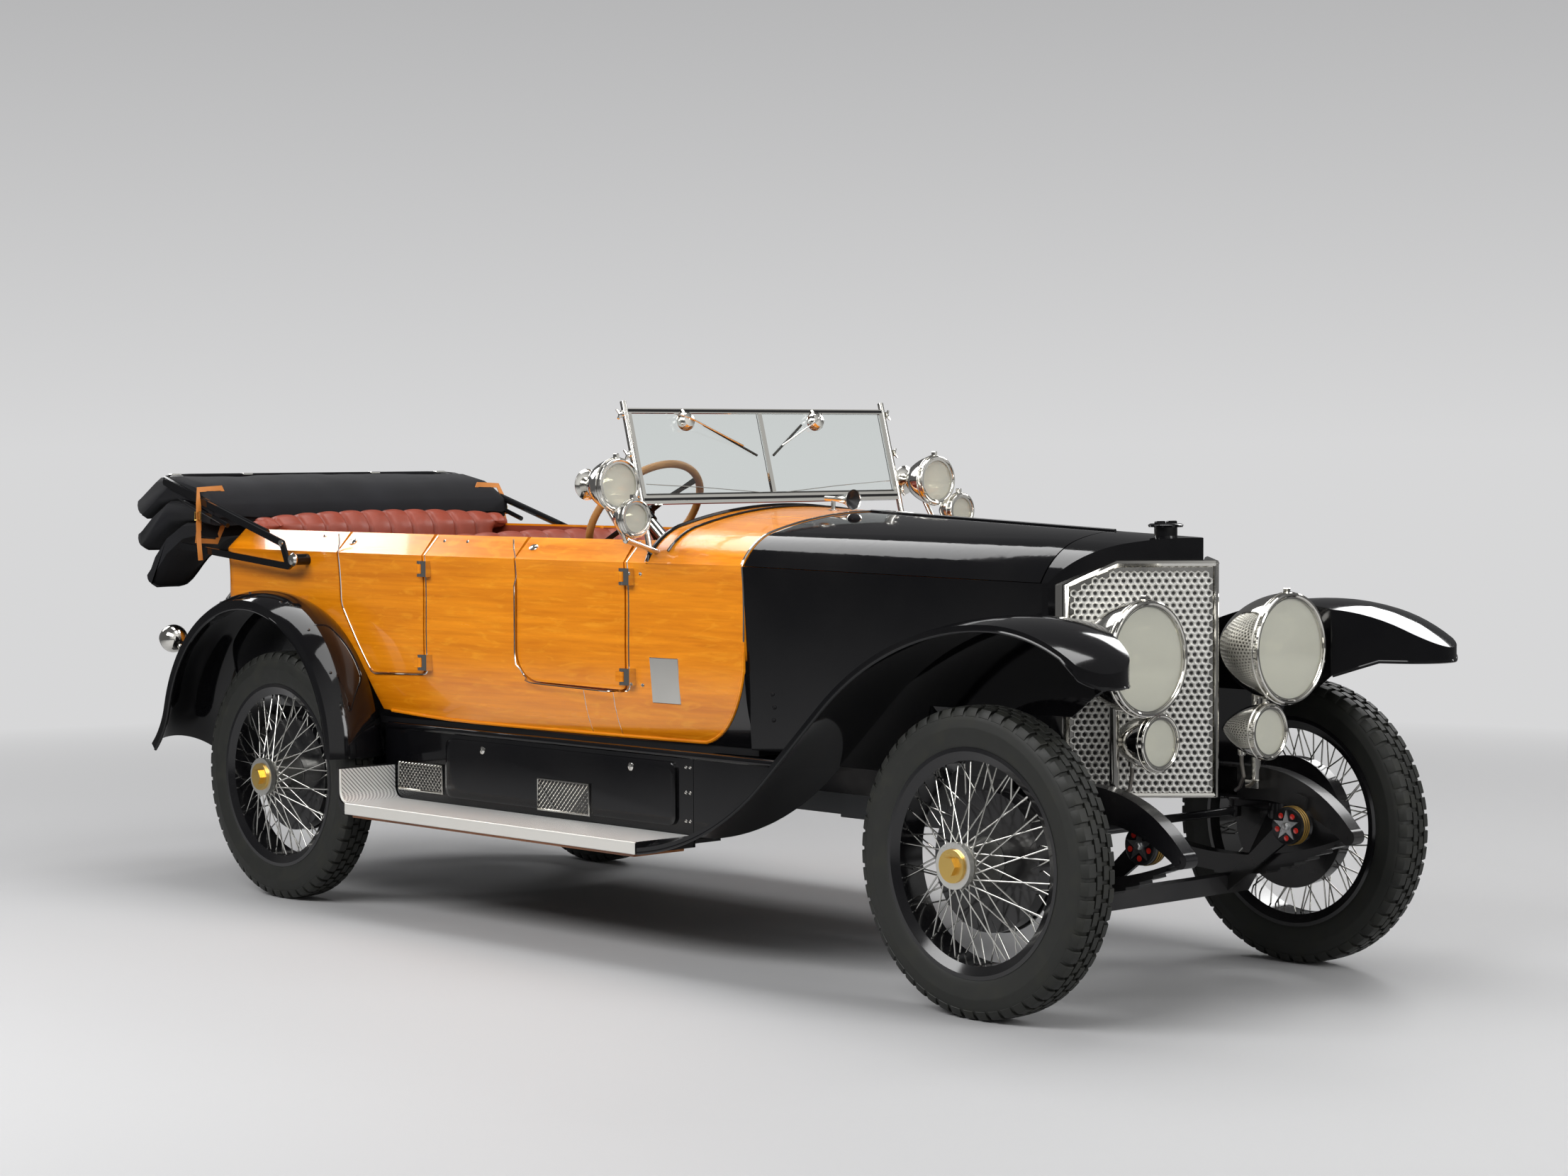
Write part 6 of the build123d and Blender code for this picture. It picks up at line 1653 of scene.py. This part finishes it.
@dataclass
class RunningBoards:
    """The alloy treads, valance lids and wire vents along each side."""

    front_x: float = 0.636
    rear_x: float = -0.940
    inner_y: float = 0.610
    outer_y: float = 0.850
    top_z: float = 0.385
    sheet: float = 0.0015
    kick_radius: float = 0.0385
    wire: float = 0.0015
    wire_step: float = 0.0185

    def tread(self) -> None:
        """Builds the punched tread, its kick plate and the bright edges."""
        sheet, edge, under = Form(), Form(), Form()
        top, bend_x, rim = self.top_z + self.sheet, self.rear_x + 0.050, self.outer_y - 0.006
        path = [(self.front_x - 0.006, top), (bend_x, top)]
        path += [(bend_x - self.kick_radius * math.sin(a), top + self.kick_radius * (1 - math.cos(a)))
                 for a in (QUARTER * k / 6 for k in range(1, 7))]
        path.append((self.rear_x + 0.0115, 0.500))
        for side in HANDS:
            lo, hi = sorted((side * (self.inner_y + 0.004), side * (self.outer_y - 0.010)))
            sheet.grid([[Vector((x, lo, z)), Vector((x, hi, z)), Vector((x + 0.0015, hi, z + 0.0012)),
                         Vector((x + 0.0015, lo, z + 0.0012))] for x, z in path], ends=True)
            near, far = sorted((side * rim, side * (self.outer_y + 0.003)))
            edge.block((self.rear_x + 0.045, near, self.top_z - 0.036),
                       (self.front_x, far, self.top_z + 0.003), bevel=0.002)
            edge.tube([(x, side * rim, z + 0.001) for x, z in path[1:]], 0.0045)
            low, high = sorted((side * (self.inner_y + 0.02), side * (self.outer_y - 0.012)))
            under.block((self.rear_x + 0.07, low, 0.339), (self.front_x - 0.02, high, 0.3505), bevel=0.002)
        sheet.fit("running_board_tread", PUNCHED, crease=25.0)
        edge.fit("running_board_edges", EDGE)
        under.fit("running_board_wood_slats", DARK_WOOD)

    def lids(self) -> None:
        """Builds the tool lids, the panels beside them and their locks on the valances."""
        lid, lock = Form(), Form()
        x0, x1, z0, z1, r = -0.630, 0.560, 0.412, 0.612, 0.03
        middle_x, middle_z = (x0 + x1) / 2, (z0 + z1) / 2
        outline = []
        for cx, cz, start in ((x1 - r, z1 - r, 0), (x0 + r, z1 - r, 90), (x0 + r, z0 + r, 180),
                              (x1 - r, z0 + r, 270)):
            outline += [(cx + r * math.cos(a), cz + r * math.sin(a))
                        for a in (math.radians(start + 15 * k) for k in range(7))]
        for side in HANDS:
            lid.grid([[Vector((x - math.copysign(inset, x - middle_x), side * y,
                               z - math.copysign(inset, z - middle_z))) for x, z in outline]
                      for inset, y in ((0.0, 0.6105), (0.0, 0.6185), (0.004, 0.6215), (0.014, 0.6222))],
                     ends=True)
            for x in (-0.42, 0.35):
                place = axis_place((x, side * 0.622, 0.585), (0, side, 0))
                lock.lathe(LID_LOCK, place, 20)
                lock.block((-0.0015, -0.006, 0.0035), (0.0015, 0.006, 0.0048), place)
            for x in (0.602, 0.622):
                for z in (0.43, 0.52, 0.60):
                    lock.stud(RIVET, (x, side * self.inner_y, z), (0, side, 0), 10)
        lid.fit("valance_tool_lids", BLACK, crease=40.0)
        self.filler()
        lock.fit("valance_locks", NICKEL)

    def filler(self) -> None:
        """Builds the panel that runs from each valance onto the fender, and the ledge above."""
        panel, ledge = Form(), Form()
        low = [(x, 1.377 - math.sqrt(1.0 - (x - 0.520) ** 2)) for x in (0.634 + 0.054 * k for k in range(11))]
        for side in HANDS:
            rings = []
            for x, z in low:
                top = max(0.634, z + 0.001)
                rings.append([Vector((x, side * y, h))
                              for y, h in ((0.604, z), (0.609, z), (0.609, top), (0.604, top))])
            panel.grid(rings, ends=True)
            ledge.tube([(x, side * 0.603, 0.637) for x in (-0.972, 0.60, 1.16)], 0.013, 12)
        panel.fit("valance_front_panels", BLACK)
        ledge.fit("valance_ledges", BLACK, crease=60.0)

    def vents(self) -> None:
        """Builds the wire mesh vents on the valances."""
        rim, mesh, back = Form(), Form(), Form()
        vents = ((-0.118, 0.146, 0.412, 0.512, 0.6235), (-0.902, -0.654, 0.420, 0.516, 0.6115))
        for side, (x0, x1, z0, z1, y) in ((side, vent) for side in HANDS for vent in vents):
            corners = ((x0, z0), (x1, z0), (x1, z1), (x0, z1))
            rim.tube([(x, side * (y + 0.003), z) for x, z in corners], 0.0042, 6, closed=True)
            lo, hi = sorted((side * (y - 0.0008), side * (y + 0.0006)))
            back.block((x0, lo, z0), (x1, hi, z1))
            tall = z1 - z0
            for lean in (-1, 1):
                begin = x0 if lean > 0 else x0 - tall
                for k in range(1, int((x1 - x0 + tall) / self.wire_step) + 1):
                    start = begin + k * self.wire_step
                    limits = sorted(((start - x1) * lean / tall, (start - x0) * lean / tall))
                    low, high = max(0.0, limits[0]), min(1.0, limits[1])
                    if high - low > 0.04:
                        out = side * (y + 0.0022 + 0.0008 * lean)
                        mesh.tube([(start - lean * tall * t, out, z0 + tall * t) for t in (low, high)],
                                  self.wire, 5)
        rim.fit("vent_frames", NICKEL)
        mesh.fit("vent_wires", NICKEL)
        back.fit("vent_backs", CHASSIS)

    def build(self) -> None:
        """Builds the boards and valances."""
        coat(CHASSIS, "running_boards")
        coat(BLACK, "valances")
        self.tread()
        self.lids()
        self.vents()


@dataclass
class Cockpit:
    """The steering wheel, dials, levers and pedals."""

    centre: Point = (0.070, -0.318, 1.379)
    fall: float = math.radians(38)
    rim_radius: float = 0.212
    wraps: int = 168
    cord: float = 0.0126
    dial_x: float = 0.404

    def steering(self) -> None:
        """Builds the wrapped steering wheel in place of its node."""
        place = axis_place(self.centre, (-math.cos(self.fall), 0, math.sin(self.fall)))
        rim, spokes, boss = Form(), Form(), Form()
        rings = []
        for k, a in enumerate(turns(self.wraps)):
            wrap = self.cord + 0.0006 * (k % 2)
            ring = ((self.rim_radius + wrap * math.cos(b), wrap * math.sin(b)) for b in turns(12))
            rings.append([place @ Vector((r * math.cos(a), r * math.sin(a), h)) for r, h in ring])
        rim.grid(rings, closed=True)
        for a in (math.pi / 4 + QUARTER * k for k in range(4)):
            along = Vector((math.cos(a), math.sin(a), 0))
            across = Vector((-math.sin(a), math.cos(a), 0))
            path = []
            for r, half, rise in ((0.028, 0.016, 0.002), (0.08, 0.011, 0.004), (0.15, 0.009, 0.002),
                                  (0.204, 0.013, 0.0)):
                corners = ((along * r + across * (edge * half) + Vector((0, 0, rise + face * 0.003)))
                           for edge, face in ((1, 1), (-1, 1), (-1, -1), (1, -1)))
                path.append([place @ corner for corner in corners])
            spokes.grid(path, ends=True)
        spokes.lathe(STEERING_HUB, place, 32)
        rim.fit("steering_rim_wrap", WRAP, "steering_wheel", body=HAND_WHEEL, crease=60.0)
        spokes.fit("steering_spokes", BLACK, "steering_wheel", body=HAND_WHEEL)
        boss.lathe(STEERING_BOSS, place, 24)
        for a in (0.5, 2.2):
            tip = (0.07 * math.cos(a), 0.07 * math.sin(a), 0.026)
            boss.tube([place @ Vector((0, 0, 0.022)), place @ Vector(tip)], 0.003)
        boss.fit("steering_boss_and_levers", NICKEL, body=HAND_WHEEL)

    def dials(self) -> None:
        """Builds the row of dials on the dashboard."""
        bezel, face, marks = Form(), Form(), Form()
        for y, z, r in ((-0.02, 1.265, 0.055), (0.115, 1.265, 0.042), (0.225, 1.262, 0.042),
                        (-0.13, 1.285, 0.036), (0.33, 1.250, 0.034), (-0.02, 1.195, 0.020)):
            place = axis_place((self.dial_x, y, z), (-1, 0, 0))
            bezel.lathe(bead(r + 0.003, 0.005, 0.005, 0.005, 10), place, 40, closed=True)
            face.lathe(((0.0, 0.0), (r, 0.0), (r, 0.003), (0.0, 0.0032)), place, 40)
            for k in range(11):
                spin = place @ Matrix.Rotation(math.radians(-130 + 26 * k), 4, "Z")
                marks.block((-0.0008, r * 0.74, 0.003), (0.0008, r * 0.92, 0.0040), spin)
            hand = place @ Matrix.Rotation(math.radians(-100 + y * 300), 4, "Z")
            marks.block((-0.0012, -r * 0.15, 0.0045), (0.0012, r * 0.70, 0.0055), hand)
        bezel.fit("dial_bezels", NICKEL)
        face.fit("dial_faces", DIAL)
        marks.fit("dial_marks", IVORY)

    def floor_controls(self) -> None:
        """Builds the pedals and the shift and brake levers."""
        form, grips = Form(), Form()
        for y in (-0.42, -0.33, -0.24):
            form.tube([(0.60, y, 0.668), (0.55, y, 0.78), (0.50, y, 0.82)], 0.008)
            pad = Matrix.Translation((0.496, y, 0.826)) @ Matrix.Rotation(math.radians(-38), 4, "Y")
            form.block((-0.006, -0.032, -0.040), (0.006, 0.032, 0.040), pad, 0.004)
        for y, x, top in ((-0.478, 0.10, 1.08), (-0.455, 0.02, 1.02)):
            form.tube([(x + 0.06, y, 0.666), (x + 0.02, y, 0.85), (x, y, top)], 0.008)
            grips.stud(LEVER_KNOB, (x, y, top - 0.004), (-0.1, 0, 1), 20)
        form.fit("pedals_and_levers", NICKEL)
        grips.fit("lever_knobs", DIAL)

    def build(self) -> None:
        """Builds the cockpit."""
        coat(NICKEL, "steering_column")
        self.steering()
        self.dials()
        self.floor_controls()


@dataclass
class Chassis:
    """The finishes of the running gear and the faces of its dampers."""

    damper_x: float = 2.248
    damper_z: float = 0.477
    outer_face_y: float = 0.3553
    inner_face_y: float = 0.3087
    star_point: float = 0.047
    star_root: float = 0.018
    spot_reach: float = 0.036

    def face(self, place: Matrix, plates: Form, stars: Form, spots: Form) -> None:
        """Adds one face of a damper.

        Args:
            place: The face's middle and outward direction.
            plates: Where the round plate goes.
            stars: Where the star and its nut go.
            spots: Where the red spots go.
        """
        plates.lathe(DAMPER_FACE, place, 40)
        outline = []
        for k in range(10):
            r = self.star_root if k % 2 else self.star_point
            outline.append((r * math.sin(math.pi * k / 5), r * math.cos(math.pi * k / 5)))
        stars.grid([[place @ Vector((x, y, h)) for x, y in outline] for h in (0.004, 0.0085)], ends=True)
        stars.lathe(DAMPER_NUT, place, 6)
        for a in (math.pi / 5 * (2 * k + 1) for k in range(5)):
            spot = Matrix.Translation((self.spot_reach * math.sin(a), self.spot_reach * math.cos(a), 0.0045))
            spots.lathe(RED_SPOT, place @ spot, 14)

    def build(self) -> None:
        """Dresses the running gear and adds the damper faces and friction rings."""
        coat(CHASSIS, "chassis_rails", "cross_members", "front_axle", "rear_axle", "leaf_springs", "tie_rod",
             "steering_knuckle_left", "steering_knuckle_right", "friction_dampers", "fuel_tank")
        coat(CAST, "engine_block")
        coat(STEEL, "exhaust")
        plates, stars, spots, rings = Form(), Form(), Form(), Form()
        x, z = self.damper_x, self.damper_z
        for side in HANDS:
            for y, out in ((side * self.outer_face_y, side), (side * self.inner_face_y, -side)):
                self.face(axis_place((x, y, z), (0, out, 0)), plates, stars, spots)
            hub = axis_place((x, side * 0.309, z), (0, side, 0))
            for h in (0.010, 0.020, 0.030):
                rings.lathe(bead(0.0565, h, 0.0022, 0.0030, 8), hub, 40, closed=True)
        plates.fit("damper_faces", CHASSIS)
        stars.fit("damper_stars", ALLOY)
        spots.fit("damper_red_spots", RED)
        rings.fit("damper_friction_rings", BRASS_DARK)


@dataclass
class Studio:
    """The floor, the soft light and the camera of the photograph."""

    eye: Point = (8.1289, -7.2233, 1.6093)
    right: Point = (0.68304, 0.73037, -0.00368)
    up: Point = (-0.03015, 0.03323, 0.99899)
    lens: float = 73.63
    horizon: Colour = (0.68, 0.68, 0.685, 1.0)
    upper: Colour = (0.42, 0.42, 0.425, 1.0)
    dim: Colour = (0.12, 0.12, 0.122, 1.0)
    ahead: Colour = (0.85, 0.85, 0.84, 1.0)
    pale: Colour = (0.40, 0.40, 0.405, 1)
    floor_reach: float = 60.0
    floor_z: float = -0.0006
    aim: Point = (0, 0, 0.7)

    def camera(self) -> None:
        """Sets the camera at the photograph's place."""
        data = bpy.data.cameras.new("photo_camera")
        data.lens, data.sensor_width, data.sensor_fit = self.lens, 36.0, "HORIZONTAL"
        camera = linked(bpy.data.objects.new("photo_camera", data))
        right, up = Vector(self.right).normalized(), Vector(self.up).normalized()
        back = right.cross(up).normalized()
        camera.matrix_world = axes_place(self.eye, right, back.cross(right), back)
        bpy.context.scene.camera = camera

    def floor(self) -> None:
        """Lays the pale floor, which takes the backdrop's colour far from the car."""
        form = Form()
        ends = (-self.floor_reach, self.floor_reach)
        form.grid([[Vector((x, y, self.floor_z)) for x in ends] for y in ends], around=False)
        floor = solid("studio_floor", form.verts, form.faces, CREASE)
        material, graph, shader = blank_material("studio_floor_pale")
        graph.feed(shader, {"Base Color": self.pale, "Roughness": 0.6})
        away = graph.vector("LENGTH", graph.coords()).outputs["Value"]
        glow = graph.add("ShaderNodeEmission", {"Color": graph.mix(self.seen(graph), self.dim, self.horizon)})
        blend = graph.add("ShaderNodeMixShader",
                          {0: graph.ramp(away, 3.3, 8.5), 1: shader.outputs[0], 2: glow.outputs[0]})
        graph.feed(material.node_tree.nodes["Material Output"], {"Surface": blend.outputs[0]})
        floor.data.materials.append(material)

    @staticmethod
    def seen(graph: Graph) -> bpy.types.NodeSocket:
        """Returns 1 for rays that show the backdrop itself, directly or through glass."""
        path = graph.add("ShaderNodeLightPath").outputs
        return graph.math("MAXIMUM", path["Is Camera Ray"], path["Is Transmission Ray"])

    def lights(self) -> None:
        """Hangs the soft lights."""
        for name, place, size, power in (("key_softbox", (0.6, -5.8, 4.8), (7.5, 2.4), 510.0),
                                         ("top_softbox", (1.2, 0.4, 5.4), (3.4, 2.4), 120.0),
                                         ("overhead_softbox", (-2.1, 0.2, 5.4), (2.8, 2.8), 120.0),
                                         ("left_softbox", (0.6, 6.2, 4.8), (4.5, 2.2), 230.0),
                                         ("rear_softbox", (-7.0, -0.6, 4.2), (2.4, 2.6), 150.0),
                                         ("front_softbox", (7.8, 0.6, 3.6), (2.4, 3.2), 230.0)):
            data = bpy.data.lights.new(name, "AREA")
            data.shape, data.energy = "RECTANGLE", power
            data.size, data.size_y = size
            lamp = linked(bpy.data.objects.new(name, data))
            lamp.location = place
            lamp.rotation_euler = (Vector(self.aim) - Vector(place)).to_track_quat("-Z", "Y").to_euler()

    def surround(self) -> None:
        """Sets the graded surround."""
        world = bpy.data.worlds.new("studio_surround")
        world.use_nodes = True
        bpy.context.scene.world = world
        graph = Graph(world.node_tree)
        x, _, z = graph.axes("Generated")
        backdrop = graph.mix(graph.ramp(z, 0.0, 0.17), self.horizon, self.upper)
        around = graph.mix(graph.ramp(x, 0.35, 0.85), self.dim, self.ahead)
        color = graph.mix(self.seen(graph), around, backdrop)
        graph.feed(world.node_tree.nodes["Background"], {"Color": color})

    def build(self) -> None:
        """Sets up the studio."""
        self.camera()
        self.floor()
        self.lights()
        self.surround()
        bpy.context.scene.view_settings.view_transform = "Standard"


def main() -> None:
    """Builds every sub-assembly in order."""
    logging.basicConfig(level=logging.INFO, format="%(message)s")
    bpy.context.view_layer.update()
    Studio().build()
    front_seat = Seat("front", cushion_front=-0.180, cushion_rear=-0.630, back_foot=-0.760, back_top=-0.800,
                      back_top_z=1.342, roll_z=1.250, top_half=0.540, dome=0.30)
    rear_seat = Seat("rear", cushion_front=-1.270, cushion_rear=-1.715, back_foot=-1.850, back_top=-1.895,
                     back_top_z=1.397, roll_z=1.3053, top_half=0.606, dome=0.48)
    for part in (RoadWheel(), Chassis(), Radiator(), Coachwork(), Fenders(), RunningBoards(), Lamps(),
                 Windscreen(), Cockpit(), front_seat, rear_seat, FoldedHood()):
        part.build()
        log.info("built %s", type(part).__name__)


if __name__ == "__main__":
    main()
